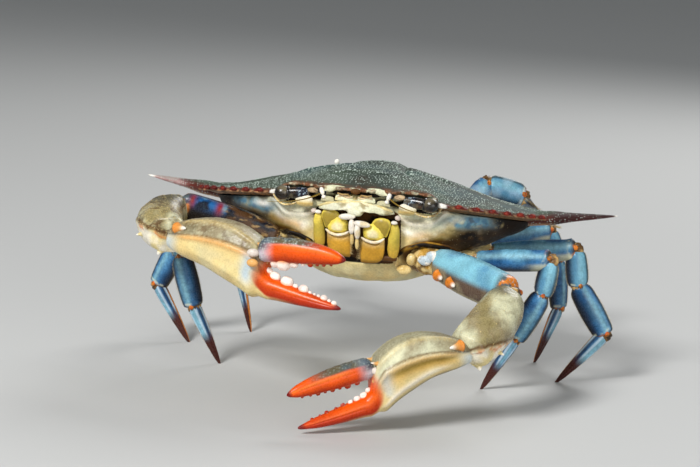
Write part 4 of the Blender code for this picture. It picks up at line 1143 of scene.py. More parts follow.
def jaw_merus(side):
    """Yellow plate with its olive outer lobe."""
    outline = ((2.5, 1.2), (2.3, 3.4), (3.6, 5.0), (5.6, 5.4), (7.6, 4.4), (8.7, 2.4), (8.5, 1.1),
               (6.6, 0.3), (4.4, 0.3))
    main = jaw_leaf(side, outline, -0.7, 1.5, "yellow")
    # White on the plate's crown: painted highlight
    main.paint("white", 0.5 * rise(main.front, 0.6, 1.0))
    outline = ((4.8, 5.0), (6.0, 6.9), (8.0, 7.4), (10.0, 6.9), (10.7, 5.4), (10.2, 3.6), (9.2, 1.4),
               (8.0, 1.4), (6.6, 3.8))
    lobe = jaw_leaf(side, outline, -0.25, 1.1, "mouth_olive")
    return [main, lobe.paint("yellow", 0.8 * rise(lobe.share, 0.75, 0.95))]


def jaw_seam(side):
    """Pale rim between ischium and merus."""
    across = ((1.8, 1.35), (3.6, 0.35), (5.6, -0.05), (7.4, 0.35), (9.1, 1.55))
    path = through([on_jaw(side, x, -1.55, z) for x, z in across], 60)
    made = rope(path, 0.46 * ends(60, 0.5), "palp").paint("straw", 0.55)
    return made.paint("palp", 0.6 * made.patches(1.6, 10, -0.2, 0.3))


def jaw_branch(side):
    """Slender outer branch beside the two plates."""
    outline = ((10.7, 5.2), (11.6, 5.9), (12.7, 5.4), (13.3, 3.0), (13.3, -1.0), (12.7, -4.4),
               (11.4, -5.6), (10.2, -5.0), (9.6, -2.6), (9.8, 0.6), (10.4, 3.4))
    made = jaw_leaf(side, outline, 0.2, 1.3, "yellow")
    made.paint("mouth_olive", 0.55 * made.patches(4, 15, -0.5, 0.3))
    made.paint("gold", 0.7 * rise(-made.above, -0.3, 0.9))
    # Brown along the outline: painted shade where the branch meets the plates
    return made.paint("brown", 0.4 * rise(made.share, 0.93, 1.0))


def jaw_palp(side):
    """Three small segments that hang down beside the middle line."""
    raised = JAW_TILT @ Matrix.Rotation(math.radians(6 * side), 3, "Y")
    made = [knob(on_jaw(side, 2.3, -2.2, 6.0 - 0.3 * side), (2.6, 0.95, 0.95), "palp", raised, 0.9),
            knob(on_jaw(side, 0.9, -2.3, 3.3), (0.9, 0.85, 2.5), "palp", JAW_TILT, 0.9),
            knob(on_jaw(side, 0.8, -2.0, -0.7), (0.62, 0.62, 1.9), "straw", JAW_TILT)]
    return [segment.paint("straw", 0.6 * segment.patches(1.5, 4, -0.1, 0.5)) for segment in made]


def make_jaw_feet():
    """Outer jaw feet: ischium, merus with its outer lobe, palp, outer branch and comb of hairs."""
    for name, side in SIDES.items():
        ischium, (main, lobe), branch = jaw_ischium(side), jaw_merus(side), jaw_branch(side)
        for skin in (ischium, main, lobe, branch):
            skin.swell(0.06 * cloud(skin.points, 1.5, 9) * (skin.front > -0.1))
        foot = knob(on_jaw(side, 8.3, 0.6, -5.6), (4.2, 0.75, 0.85), "brown", JAW_TILT, 0.5, 0.6)
        branch_tip = knob(on_jaw(side, 11.7, -0.3, 6.3), (1.0, 0.7, 0.55), "palp", JAW_TILT)
        skins = [ischium, main, lobe, jaw_seam(side), foot, branch, branch_tip] + jaw_palp(side)
        make(f"jaw_foot_{name}_skin", skins, "underside", [f"jaw_foot_{name}"])
        roots = [on_jaw(side, 1.6, -1.0, z) for z in np.linspace(-6.0, 4.6, COMB_HAIRS)]
        comb = hairs(roots, [(-side, -0.5, -0.2)] * COMB_HAIRS, [1.3] * COMB_HAIRS, radius=0.05, seed=5)
        uvs = [np.array((0.5, k / 100)) for k in range(COMB_HAIRS)]
        make(f"jaw_hair_{name}", comb, "hair", uvs=uvs)


# ---- Legs ------------------------------------------------------------------------------------


def swim_paint(skin, part, seed):
    """Paddle colours: blue-grey with olive and orange ends."""
    if part == "dactyl":
        skin.paint("steel_light", 0.5 * hump(skin.above, 0, 0.5))
        skin.paint("olive", 0.7 * rise(skin.share, 0.45, 0.95))
        skin.paint("joint", 0.5 * rise(skin.share, 0.85, 1.0))
        skin.swell(0.18 * hump(skin.above, 0.0, 0.12) * (1 - rise(skin.share, 0.7, 0.95)))
    elif part != "basis":
        skin.paint("pale_blue", 0.35 * skin.patches(5, seed, 0, 0.6))


def joint_pieces(point, along, upward, sideways, height, thickness):
    """Soft skin inside a joint, and the two hard pivots beside it."""
    turn = np.column_stack([along, sideways, upward])
    soft = knob(point, (0.34 * height, 0.34 * thickness, 0.33 * height), "membrane", turn)
    soft.paint("brown", 0.9 * soft.patches(0.3 * height, 4, -0.5, 0.1))
    soft.paint("stain_and_shade", 0.8 * soft.patches(0.2 * height, 5, 0.0, 0.4))
    soft.swell(0.03 * height * np.sin(14 * soft.above))
    made = [soft]
    for hand in (-1, 1):
        place = point + sideways * hand * 0.36 * thickness + upward * 0.12 * height
        radii = (0.12 * height, 0.12 * thickness, 0.11 * height)
        pivot = knob(place, radii, "joint", turn, rings=14, sides=18)
        pivot.paint("brown", 0.8 * pivot.patches(1.5, 2, 0.0, 0.3))
        made.append(pivot.paint("joint_red", 0.6 * pivot.patches(1.2, 3, 0, 0.5)))
    return made


def leg_paint(skin, part, seed):
    """Blue shell with pale ridges and orange joints, lighter on the upper front and along the top as painted
    light, and darker below and behind as painted shade.
    """
    noise = cloud(skin.points, 5.0, seed)
    lit_front_top = rise(skin.above + 0.6 * skin.front, 0.0, 1.0)
    skin.paint("blue")
    skin.paint("steel", 0.8 * rise(noise, -0.4, 0.5))
    # Azure blotches on the upper front: partly the shell's own blotches, partly painted light
    skin.paint("azure", (0.35 if part == "propodus" else 0.6) * lit_front_top
               * skin.patches(6.0, seed + 3, -0.5, 0.4))
    # Painted highlight along the top
    skin.paint("steel_light", 0.8 * hump(skin.above, 0.45, 0.25) * rise(skin.front, 0.1, 0.5))
    mesh = rise(grains(skin.points, 1.3, seed), 0.4, 0.6)
    skin.paint("navy", 0.22 * mesh)
    # Navy below and behind: painted shade
    skin.paint("navy", 0.95 * rise(-skin.above, 0.15, 0.85))
    skin.paint("navy", 0.8 * rise(-skin.front, 0.1, 0.8))
    if part == "merus":
        wedge = rise(skin.share, 0.6, 0.9) * rise(-skin.above, 0.1, 0.4) * rise(skin.front, -0.2, 0.4)
        skin.paint("bone", 0.6 * wedge * skin.patches(3, seed + 5, -0.7, 0.0))
    if part == "carpus":
        # Lighter towards the top front: painted light
        skin.paint("azure", 0.3 * rise(skin.above + skin.front, -0.2, 0.8))
    if part in ("carpus", "propodus"):
        skin.paint("tan_dark", 0.7 * rise(np.abs(skin.above), 0.93, 0.98))
        skin.paint("stain_and_shade", 0.7 * rise(np.abs(skin.above), 0.84, 0.93) * (np.abs(skin.above) < 0.95))
    if part == "dactyl":
        ribs = rise(np.cos(6 * np.arctan2(skin.above, skin.front)), 0.1, 0.8)
        skin.paint("pale_blue", 0.8 * ribs * (1 - rise(skin.share, 0.4, 0.65)))
        skin.paint("tip_brown", rise(skin.share, 0.4, 0.62))
        skin.paint("joint", rise(-skin.above, 0.88, 0.97) * rise(skin.share, 0.1, 0.3))
        skin.paint("cream", rise(skin.share, 0.97, 0.995))
    else:
        end = rise(skin.share, 0.9, 0.97)
        skin.paint("navy", 0.7 * end)
        skin.paint("shell_brown", 0.9 * end * skin.patches(2.2, seed + 6, -0.4, 0.2))
        skin.paint("joint", end * skin.patches(1.1, seed + 1, 0.1, 0.35))
        skin.paint("bone", 0.5 * hump(skin.share, 0.9, 0.02) * skin.patches(1.3, seed + 2, 0.0, 0.3))
        skin.paint("carpus", 0.5 * (1 - rise(skin.share, 0.02, 0.1)))


def leg_relief(skin, part, height):
    """Ridges along the segment, and its grain."""
    angle = np.arctan2(skin.above, skin.front)
    window = rise(skin.share, 0.06, 0.2) * (1 - rise(skin.share, 0.85, 0.97))
    ribs = {"basis": 0, "merus": 2, "carpus": 4, "propodus": 4, "dactyl": 6}[part]
    if ribs:
        skin.swell(0.028 * height * np.cos(ribs * angle) * window)
    lip = hump(skin.share, 0.93, 0.03)
    skin.swell(0.05 * height * lip * (part != "dactyl"))
    skin.granulate(0.8, 0.05, "steel_light", 0.25, rise(skin.above, 0.2, 0.8), seed=11)


def fringe(skin, edge, tufts, seed):
    """Hairs along the upper (1) or lower (-1) edge of a segment."""
    column = int(np.argmax(edge * skin.above[len(skin.above) // 2]))
    path = skin.points[:, column]
    share = skin.share[:, column]
    count = max(4, int(np.linalg.norm(path[-1] - path[0]) / tufts["step"]))
    at = np.linspace(*tufts["span"], count)
    roots = np.stack([np.interp(at, share, path[:, k]) for k in range(3)], axis=-1)
    normals = skin.normals()[:, column]
    out = np.stack([np.interp(at, share, normals[:, k]) for k in range(3)], axis=-1)
    along = unit(path[-1] - path[0])
    chance = np.random.default_rng(seed)
    lengths = tufts["length"] * chance.uniform(0.7, 1.15, count)
    lengths = lengths * np.sin(math.pi * np.clip(at, 0.15, 0.9)) ** 0.4
    made = hairs(roots - 0.1 * out, out + tufts["tilt"] * along, lengths, seed=seed)
    return made, [np.array((a, 0.5 + 0.25 * edge)) for a in at]


LEG_FRINGE = dict(parts=("carpus", "propodus", "dactyl"), step=0.42, length=0.75, tilt=0.9, span=(0.1, 0.92))
SWIM_FRINGE = dict(parts=("propodus", "dactyl"), step=0.3, length=1.9, tilt=0.7, span=(0.08, 0.97))


def make_chain(name, joints, ups, profiles, heights, thicknesses, seed, swim=False):
    """Five segments of a leg, with their joints and fringes."""
    hair, hair_uvs = [], []
    last = len(SEGMENTS) - 1
    tufts = SWIM_FRINGE if swim else LEG_FRINGE
    for i, part in enumerate(SEGMENTS):
        start, end = joints[i], joints[i + 1]
        along, upward, sideways = axes(end - start, ups[i])
        height, thickness = heights[part], thicknesses[part]
        reach = 0.12 * height
        begin = start - along * (reach if i else 0)
        finish = end + along * (reach if i < last else 0)
        rounding = 0.34 * height / np.linalg.norm(finish - begin)
        skin = limb(begin, finish, ups[i], profiles[part], (height, thickness), rings=80, sides=48,
                    squareness=0.95 if swim else 1.06, caps=(rounding, rounding if i < last else 0.04))
        leg_relief(skin, part, 1.2 * thickness if part == "dactyl" and swim else height)
        leg_paint(skin, part, seed + i)
        if swim:
            swim_paint(skin, part, seed)
        if part == "basis":
            skin.paint("straw", 0.85)
            skin.paint("olive", 0.5 * skin.patches(4, seed, 0, 0.6))
        skins = [skin]
        if i < last:
            skins += joint_pieces(end, along, upward, sideways, height, thickness)
        if part in tufts["parts"]:
            for edge in (-1, 1):
                more, uvs = fringe(skin, edge, tufts, seed + 7 * i + edge)
                hair += more
                hair_uvs += uvs
        if part == "dactyl" and not swim:
            skin.points[..., 2] = np.maximum(skin.points[..., 2], FLOOR)
        make(f"{name}_{part}_skin", skins, "shell", [f"{name}_{part}"])
    for tuft in hair:
        tuft.points[..., 2] = np.maximum(tuft.points[..., 2], FLOOR + 0.1)
    make(f"{name}_fringe", hair, "hair", uvs=hair_uvs)


def leg_joints(leg, side_name, lift):
    """Joints of a leg from its socket to its tip, when its first two segments rise by lift degrees."""
    side = SIDES[side_name]
    heading = math.radians(leg["heading"][side_name])
    outward = np.array((side * math.cos(heading), -math.sin(heading), 0))
    points = [mirrored(leg["socket"], side)]
    for part, degrees in zip(SEGMENTS, (lift, lift, *leg["slopes"][side_name])):
        slope = math.radians(degrees)
        step = outward * math.cos(slope) + UP * math.sin(slope)
        points.append(points[-1] + step * LEG_LENGTHS[part] * leg["scale"])
    return points


def make_walking_leg(name, side_name, seed):
    """Walking leg, lowered from its socket until its tip stands on the floor."""
    leg = WALKING_LEGS[name]
    lowest, highest = -30.0, 50.0
    for _ in range(40):
        lift = (lowest + highest) / 2
        if leg_joints(leg, side_name, lift)[-1][2] > FLOOR - TIP_PRESS:
            highest = lift
        else:
            lowest = lift
    joints = leg_joints(leg, side_name, lowest)
    outward = (joints[-1] - joints[0]) * np.array((1, 1, 0))
    ups = [outward if abs(unit(b - a)[2]) > 0.7 else UP for a, b in zip(joints, joints[1:])]
    heights = {part: size * leg["scale"] for part, size in LEG_HEIGHTS.items()}
    thicknesses = {part: size * leg["scale"] for part, size in LEG_THICKNESSES.items()}
    make_chain(f"{name}_{side_name}", joints, ups, LEG_PROFILES, heights, thicknesses, seed)


def make_swimming_leg(side_name, seed):
    """Hindmost leg with its paddle, stretched out behind the shell."""
    side = SIDES[side_name]
    joints = [mirrored(point, side) for point in SWIM_JOINTS[side_name]]
    ups = [UP] * 3 + [mirrored(PADDLE_UP, side)] * 2
    make_chain(f"swim_leg_{side_name}", joints, ups, SWIM_PROFILES, SWIM_HEIGHTS, SWIM_THICKNESSES, seed,
               swim=True)


# ---- Claws -----------------------------------------------------------------------------------


def surface_point(skin, share, front, above):
    """Point and normal of a skin nearest to a share of its length and a place round it."""
    row = int(np.argmin(np.abs(skin.share[:, 0] - share)))
    middle = skin.points[row].mean(axis=0)
    column = int(np.argmin((skin.front[row] - front) ** 2 + (skin.above[row] - above) ** 2))
    return skin.points[row, column], unit(skin.points[row, column] - middle)


def spine_on(skin, share, front, above, length, radius, colour, lean=(0, 0, 0)):
    """Spine that stands on a skin and leans its way."""
    place, out = surface_point(skin, share, front, above)
    return spike(place - 0.5 * out, place + length * unit(out + np.asarray(lean, float)), radius, colour)


def tooth_on(skin, share, above, width, colour):
    """Blunt biting tooth on the edge of a finger."""
    place, out = surface_point(skin, share, 0.0, above)
    along = unit(skin.points[-1].mean(axis=0) - skin.points[0].mean(axis=0))
    turn = np.column_stack([along, np.cross(out, along), out])
    made = knob(place - 0.2 * width * out, (0.52 * width, 0.45 * width, 0.72 * width), "joint", turn, 0.72,
                rings=22, sides=28)
    height = ((made.points - place) @ out) / width
    made.paint(colour, rise(height, -0.2, 0.15))
    return made.paint("spine_pink", 0.3 * made.patches(0.5 * width, 7, 0.0, 0.5))


def make_arm(name, side, spec):
    """Basis, merus and carpus of a claw."""
    joints = [spec["socket"], spec["elbow"], spec["wrist"], spec["palm"]]
    for i, part in enumerate(ARM_PROFILES):
        start, end = joints[i], joints[i + 1]
        along, upward, sideways = axes(end - start, mirrored(ARM_UPS[part], side))
        bow = WRIST_BOWS[name] if part == "carpus" else 0.0
        height, thickness = ARM_HEIGHTS[part], ARM_THICKNESSES[part]
        skin = limb(start - (along if i else 0), end + along * 0.8, upward, ARM_PROFILES[part],
                    (height, thickness), rings=110, sides=90, squareness=0.86, bow=bow, caps=(0.08, 0.07))
        skins = [skin] + {"basis": arm_basis, "merus": arm_merus, "carpus": arm_carpus}[part](skin, side)
        if part != "carpus":
            skins += joint_pieces(end, along, upward, sideways, 0.8 * height, thickness)
        make(f"claw_{name}_{part}_skin", skins, "shell", [f"claw_{name}_{part}"])


def arm_basis(skin, side):
    """Cream lumps with brown seams between them."""
    skin.paint("straw")
    skin.paint("brown", 0.9 * skin.patches(3.5, 5, -0.3, 0.1))
    skin.paint("gold", 0.7 * skin.patches(2.0, 26, -0.2, 0.4))
    skin.paint("straw", 0.8 * skin.patches(3.0, 25, 0.3, 0.5))
    # On the right, near-black streaks: partly bristles, partly painted shade behind the claw
    if side < 0:
        skin.paint("stain_and_shade", patches(skin.points * (0.3, 1, 1), 1.3, 49, -0.6, 0.2))
    skin.swell(0.5 * cloud(skin.points, 3.0, 25))
    lumps = [knob(mirrored((16.9, -25.4, -18.2), side), (1.4, 1.3, 1.9), "straw"),
             knob(mirrored((21.2, -26.3, -17.9), side), (2.2, 1.2, 1.5), "palp"),
             knob(mirrored((24.4, -26.2, -16.6), side), (2.9, 1.4, 1.8), "palp"),
             knob(mirrored((14.6, -24.0, -21.8), side), (2.3, 1.4, 1.5), "straw"),
             knob(mirrored((12.0, -24.4, -19.2), side), (0.9, 1.0, 1.9), "straw")]
    for lump in lumps:
        lump.swell(0.22 * cloud(lump.points, 1.3, 8))
    for lump in lumps[1:3]:
        lump.paint("pale_blue", 0.8 * lump.patches(1.6, 11, -0.1, 0.2))
        lump.paint("stain_and_shade", 0.5 * lump.patches(0.9, 12, 0.25, 0.5))
    for lump in lumps[::3]:
        lump.paint("gold", 0.4 * lump.patches(1.6, 13, 0, 0.4))
    return lumps


def darken_merus(skin):
    """Colours of the right merus: dark navy and near-black as painted shade, with a streaked cobalt strip,
    painted azure glints, two red spots and brown streaks.
    """
    inner = 1 - rise(skin.share, 0.5, 0.62)
    # Navy over the whole segment: painted shade
    skin.paint("navy")
    strip = rise(skin.front, -0.3, 0.2) * skin.patches(2.4, 47, -0.5, 0.0)
    skin.paint("cobalt", hump(skin.above, 0.7, 0.22) * strip)
    # Azure glints on the strip: painted highlights
    skin.paint("azure", 0.8 * hump(skin.above, 0.75, 0.15) * skin.patches(2, 46, 0.0, 0.3))
    for place in (0.62, 0.88):
        skin.paint("red", hump(skin.share, place, 0.035) * hump(skin.above, 0.7, 0.3) * strip)
    # Near-black inner half and underside: painted shade
    skin.paint("stain_and_shade", 0.95 * np.maximum(inner, rise(-skin.above, -0.4, -0.1)))
    skin.paint("brown", 0.75 * inner * patches(skin.points * (0.25, 1, 1), 1.4, 49, -0.3, 0.2))
    skin.paint("membrane", 0.6 * inner * patches(skin.points * (0.15, 1, 1), 0.9, 48, 0.2, 0.5))


def arm_merus(skin, side):
    """Azure above with a painted sheen on top, brown below and navy behind as painted shade, orange at its
    end, with spines on its front edge.
    """
    skin.swell(0.5 * hump(skin.above, 0.8, 0.2) * rise(skin.front, 0.0, 0.5))
    skin.paint("azure")
    skin.paint("steel", 0.6 * skin.patches(6, 41, -0.1, 0.6))
    # Paler on top: painted sheen
    skin.paint("steel_light", 0.8 * rise(skin.above, 0.4, 0.9) * skin.patches(8, 45, -0.4, 0.4))
    low = rise(-skin.above, -0.15, 0.25) * rise(skin.front, -0.2, 0.3)
    # Brown below: painted shade, with tan patches over it
    skin.paint("brown", 0.95 * low)
    skin.paint("tan", 0.6 * low * skin.patches(4, 43, -0.2, 0.4))
    # Navy behind and below: painted shade
    skin.paint("navy", 0.9 * rise(-skin.front, 0.1, 0.6) * rise(-skin.above, -0.6, 0.2))
    skin.paint("cream", 0.6 * rise(-skin.above, 0.75, 0.95))
    if side < 0:
        darken_merus(skin)
    distal = rise(skin.share, 0.86, 0.94)
    skin.paint("shell_brown", 0.8 * distal)
    skin.paint("joint", distal * skin.patches(2.2, 2, -0.1, 0.2))
    grain = beads(skin, 1.0, 0.16, "steel_light", 0.5 * rise(skin.above, 0.1, 0.6) * (side > 0), seed=17)
    lean = 2.6 * unit(skin.points[-1].mean(axis=0) - skin.points[0].mean(axis=0)) + 0.6 * UP
    places = (0.17, 0.36) if side > 0 else (0.3, 0.52, 0.7)
    return [grain] + [spine_on(skin, place, 0.75, -0.5, 3.2, 1.9, "joint", lean) for place in places]


def arm_carpus(skin, side):
    """Olive hump with brown veins, a cream lower edge and two spines."""
    fall = skin.points[..., 2].max() - skin.points[..., 2]
    tilt = 0.22 * side * (skin.points[..., 0] - skin.points[..., 0].mean())
    depth = fall + tilt + 0.9 * cloud(skin.points, 3.5, 50)
    line = 9.0 if side < 0 else 15.0
    low_edge = rise(depth, line, line + 1.0)
    veins = (1 - rise(np.abs(cloud(skin.points, 4.5, 57, 2)), 0.03, 0.09)) * (0.8 if side < 0 else 0.25)
    skin.paint("carpus")
    skin.paint("tan", 0.8 * skin.patches(6, 51, -0.2, 0.5))
    skin.paint("bone", 0.75 * skin.patches(7, 54, -0.3, 0.4))
    skin.paint("tan_dark", (0.8 if side < 0 else 0.3) * skin.patches(2.5, 52, 0.0, 0.5))
    skin.paint("brown", veins)
    skin.paint("shell_dark", 0.6 * (1 - rise(fall, 0.5, 3.0)))
    skin.paint("cream", low_edge)
    skin.paint("white", 0.7 * low_edge * skin.patches(4, 55, -0.4, 0.2))
    skin.paint("joint", 0.8 * hump(depth, line + 0.9, 0.6) * skin.patches(2, 58, 0.0, 0.3))
    skin.paint("brown", 0.95 * hump(depth, line - 0.3, 0.5))
    skin.swell(0.3 * cloud(skin.points, 5, 53) + 0.4 * hump(depth, line + 0.6, 0.6))
    skin.granulate(0.85, 0.07, "straw", 0.3 if side < 0 else 0.12, 1 - low_edge, seed=21)
    lowest = skin.points.reshape(-1, 3)[np.argmin(skin.points[..., 2])]
    return [beads(skin, 0.9, 0.13, "straw", (0.6 if side < 0 else 0.08) * (1 - low_edge), seed=19),
            spine_on(skin, 0.75, -0.2, 0.95, 1.5, 0.9, "cream"),
            spike(lowest + (0, 0, 1.0), lowest + (side, -1.2, -1.0), 1.9, "cream")]


# Share of the length of palm or thumb, and width of the tooth
PALM_TEETH = {"right": ((0.578, 2.4), (0.622, 3.4), (0.688, 3.9), (0.737, 1.7), (0.785, 3.1), (0.822, 1.2),
                        (0.845, 1.0), (0.868, 1.2), (0.9, 2.2), (0.93, 1.2), (0.958, 1.7)),
              "left": ((0.585, 1.7), (0.62, 2.2), (0.66, 1.9), (0.695, 1.4), (0.74, 1.5), (0.78, 1.0),
                       (0.83, 1.3), (0.87, 0.8), (0.915, 1.0))}
THUMB_TEETH = {"right": ((0.2, 3.0), (0.3, 4.4), (0.42, 2.6), (0.52, 1.4), (0.6, 1.7), (0.68, 1.1),
                         (0.76, 1.2), (0.84, 0.9)),
               "left": ((0.22, 1.6), (0.33, 1.9), (0.42, 1.1), (0.5, 1.4), (0.58, 1.0), (0.66, 1.3),
                        (0.75, 0.9), (0.84, 0.9))}
PALM_PALENESS = {"right": 0.0, "left": 0.6}
CREAM_SLANT = {"right": 0.11, "left": 0.05}  # how far the palm's cream runs under the fixed finger
THUMB_DOTS = {"right": 0.7, "left": 0.3}


def palm_limb(name, spec, along):
    """Plain palm and fixed finger in one."""
    height, thickness, bow = PALM_SIZES[name]
    table = np.array(PALM)

    def lift(share):
        rising = bow * np.sin(math.pi * np.minimum(1.0, share / PALM_SHARE))
        return rising + smooth(share, table[:, 0], table[:, 3]) * height / 2

    return limb(spec["palm"] - along * 1.2, spec["finger"], spec["palm_up"], table[:, :3],
                (height, thickness), rings=230, sides=130, squareness=0.84, caps=(0.03, 0.015), lift=lift)


def palm_regions(palm):
    """Masks of the palm's part and its three ridges."""
    share, front, above = palm.share, palm.front, palm.above
    on_palm = 1 - rise(share, 0.5, 0.58)
    ridge_at = 0.03 + 1.6 * np.minimum(share, 0.56) ** 2
    return SimpleNamespace(
        on_palm=on_palm, ridge_at=ridge_at, upper=rise(above, ridge_at - 0.04, ridge_at + 0.06),
        ridge=hump(above, ridge_at, 0.11) * rise(front, 0.3, 0.7) * rise(share, 0.05, 0.14) * on_palm,
        upper_ridge=hump(above, 0.82, 0.09) * rise(share, 0.05, 0.12) * on_palm,
        lower_ridge=hump(above, -0.55, 0.12) * rise(front, 0.2, 0.6) * rise(share, 0.08, 0.3) * on_palm)


def paint_palm(palm, at, pale):
    """Cream below the ridge and tan above it, paler on the left claw."""
    share, front, above = palm.share, palm.front, palm.above
    noise = cloud(palm.points, 5, 61)
    palm.paint("straw")
    palm.paint("cream", 0.8 * rise(noise, -0.1, 0.5))
    palm.paint("bone", 0.3 * rise(-above, -0.1, 0.3) * palm.patches(9, 3, 0, 0.6))
    palm.paint("tan", at.upper)
    palm.paint("tan_dark", 0.6 * at.upper * rise(noise, 0, 0.6))
    palm.paint("bone", (0.45 + 0.6 * pale) * at.upper * rise(share, 0.08, 0.25)
               * rise(cloud(palm.points, 7, 66) + pale, -0.3, 0.4))
    palm.paint("tan_dark", pale * rise(above, 0.84, 0.94) * at.on_palm)
    palm.paint("gold", 1.12 * pale * hump(above, at.ridge_at - 0.3, 0.24) * rise(front, 0.0, 0.5)
               * at.on_palm * rise(share, 0.05, 0.2))
    groove = hump(above, at.ridge_at - 0.2, 0.13) * rise(front, -0.2, 0.4) * at.on_palm
    palm.paint("olive", 1.6 * pale * groove * rise(share, 0.06, 0.2) * (1 - rise(share, 0.4, 0.56)))
    palm.paint("white", pale * at.lower_ridge)
    palm.paint("tan", 1.5 * pale * rise(-above, 0.7, 0.9) * at.on_palm)
    palm.paint("brown", (0.5 - 0.6 * pale) * at.upper * palm.patches(1.6, 67, 0.1, 0.5))
    palm.paint("tan_dark", 0.9 * hump(above, at.ridge_at + 0.13, 0.05) * rise(front, 0.2, 0.6) * at.on_palm)
    palm.paint("peach", (0.95 - pale) * at.ridge)
    palm.paint("straw", 0.35 * at.upper_ridge)
    band = hump(share, 0.505, 0.035) * rise(above, -0.75, -0.2) * (1 - rise(above, 0.3, 0.6))
    palm.paint("pale_blue", (0.85 - 0.6 * pale) * band * palm.patches(4, 9, -0.7, 0.0))
    palm.paint("pale_blue", 0.7 * (1 - rise(share, 0.03, 0.12)) * rise(-above, -0.3, 0.3))


def paint_fixed_finger(palm, slant):
    """Orange finger, redder to its tip."""
    share, above = palm.share, palm.above
    noise = cloud(palm.points, 5, 61)
    to_finger = rise(share + 0.012 * noise - slant * rise(-above, 0.0, 0.9), 0.525, 0.57)
    palm.paint("orange", to_finger)
    palm.paint("deep_orange", to_finger * rise(-above, -0.7, 0.5))
    palm.paint("joint_red", 0.5 * to_finger * rise(share, 0.7, 0.95))
    # Lighter orange band along the upper middle: painted highlight
    palm.paint("orange_highlight", 0.2 * to_finger * hump(above, 0.45, 0.2))
    palm.paint("straw", 0.7 * to_finger * rise(-above, 0.5, 0.9) * (1 - rise(share, 0.62, 0.8)))
    palm.paint("finger_tip", rise(share, 0.95, 0.985))


def make_palm(name, spec, along):
    """Palm with its fixed finger, its ridges and its grain."""
    palm = palm_limb(name, spec, along)
    at = palm_regions(palm)
    palm.swell(0.75 * at.ridge + 0.6 * at.upper_ridge + 0.35 * at.lower_ridge)
    grooves = hump(palm.above, 0.1, 0.12) * rise(palm.share, 0.6, 0.68) * rise(np.abs(palm.front), 0.5, 0.9)
    palm.swell(-0.12 * grooves)
    paint_palm(palm, at, PALM_PALENESS[name])
    paint_fixed_finger(palm, CREAM_SLANT[name])
    palm.granulate(0.9, 0.07, "bone", 0.25, at.upper * at.on_palm, seed=23)
    palm.granulate(0.7, 0.12, "straw", 0.6, at.ridge + at.upper_ridge, seed=24)
    return palm


def make_thumb(name, spec, upward):
    """Movable finger, blue at its root and on top."""
    height, thickness, bow = THUMB_SIZES[name]
    thumb = limb(spec["hinge"] + upward * HINGE_RISE, spec["thumb"], upward, THUMB, (height, thickness),
                 rings=150, sides=90, bow=bow, caps=(0.06, 0.03))
    thumb.swell(-0.1 * hump(thumb.above, 0.15, 0.13) * rise(np.abs(thumb.front), 0.5, 0.9)
                * rise(thumb.share, 0.1, 0.3) * (1 - rise(thumb.share, 0.8, 0.95)))
    thumb.paint("orange")
    thumb.paint("deep_orange", 0.8 * rise(-thumb.above, 0.0, 0.8))
    # Lighter orange band along the upper middle: painted highlight
    thumb.paint("orange_highlight", 0.5 * hump(thumb.above, 0.35, 0.2) * rise(thumb.share, 0.2, 0.4))
    blue_top = rise(thumb.above, 0.45, 0.7) * (1 - rise(thumb.share, 0.45, 0.8))
    thumb.paint("shell_blue", 0.95 * blue_top)
    thumb.paint("tan_dark", 0.85 * blue_top * thumb.patches(3, 73, -0.5, 0.2))
    base = 1 - rise(thumb.share, 0.05, 0.24)
    thumb.paint("pale_blue", 0.75 * base)
    thumb.paint("navy", 0.85 * base * rise(thumb.above, -0.25, 0.35))
    thumb.paint("finger_tip", rise(thumb.share, 0.93, 0.98))
    thumb.granulate(0.75, 0.12, "grain", THUMB_DOTS[name], np.maximum(blue_top, base), seed=29)
    return thumb


def palm_spines(palm, along):
    """Strong spine at the wrist, and two small ones over the hinge."""
    strong = spine_on(palm, 0.06, 0.7, 0.5, 4.2, 1.7, "peach", 1.9 * along)
    strong.paint("joint", 0.7 * (1 - rise(strong.share, 0.2, 0.6)))
    return [strong] + [spine_on(palm, 0.5, front, 0.85, 2.2, 0.8, "peach", 2.2 * along)
                       for front in (0.45, -0.45)]


def hinge_knobs(spec, along, upward, sideways, thickness):
    """Pink pivots on both sides of the movable finger's hinge."""
    made = []
    middle = spec["hinge"] + upward * (HINGE_RISE - 0.8)
    forward = -np.sign(sideways[1]) * sideways
    for hand in (-1, 1):
        centre = middle + 0.506 * hand * thickness * forward
        made.append(knob(centre, (1.8, 1.1, 1.2), "palp").paint("spine_pink", 0.3))
        made.append(knob(centre - upward * 2.8 + along * 0.8, (1.7, 1.0, 1.2), "peach"))
    return made


def make_pincer(name, spec):
    """Palm with its fixed finger, and the movable finger, with their teeth and spines."""
    along, upward, sideways = axes(spec["finger"] - spec["palm"], spec["palm_up"])
    palm, thumb = make_palm(name, spec, along), make_thumb(name, spec, upward)
    palm_skins, thumb_skins = [palm], [thumb]
    for place, width in PALM_TEETH[name]:
        colour = "deep_orange" if name == "left" and place > 0.72 else "tooth_white"
        palm_skins.append(tooth_on(palm, place, 1.0, width, colour))
    for i, (place, width) in enumerate(THUMB_TEETH[name]):
        colour = "tooth_white" if name == "right" and i < 4 else "deep_orange"
        thumb_skins.append(tooth_on(thumb, place, -1.0, width, colour))
    palm_skins += palm_spines(palm, along) + hinge_knobs(spec, along, upward, sideways, THUMB_SIZES[name][1])
    make(f"claw_{name}_propodus_skin", palm_skins, "finger", [f"claw_{name}_propodus"])
    make(f"claw_{name}_dactyl_skin", thumb_skins, "finger", [f"claw_{name}_dactyl"])


# ---- Stage, light and camera -----------------------------------------------------------------

CAMERA_AZIMUTH, CAMERA_ELEVATION, CAMERA_ROLL = 12.0, 8.0, 3.3  # degrees
CAMERA_DISTANCE, CAMERA_LENS = 620.0, 102.2
AIM_RIGHT, AIM_UP = -8.74, -15.4  # from the shell's middle, across the picture


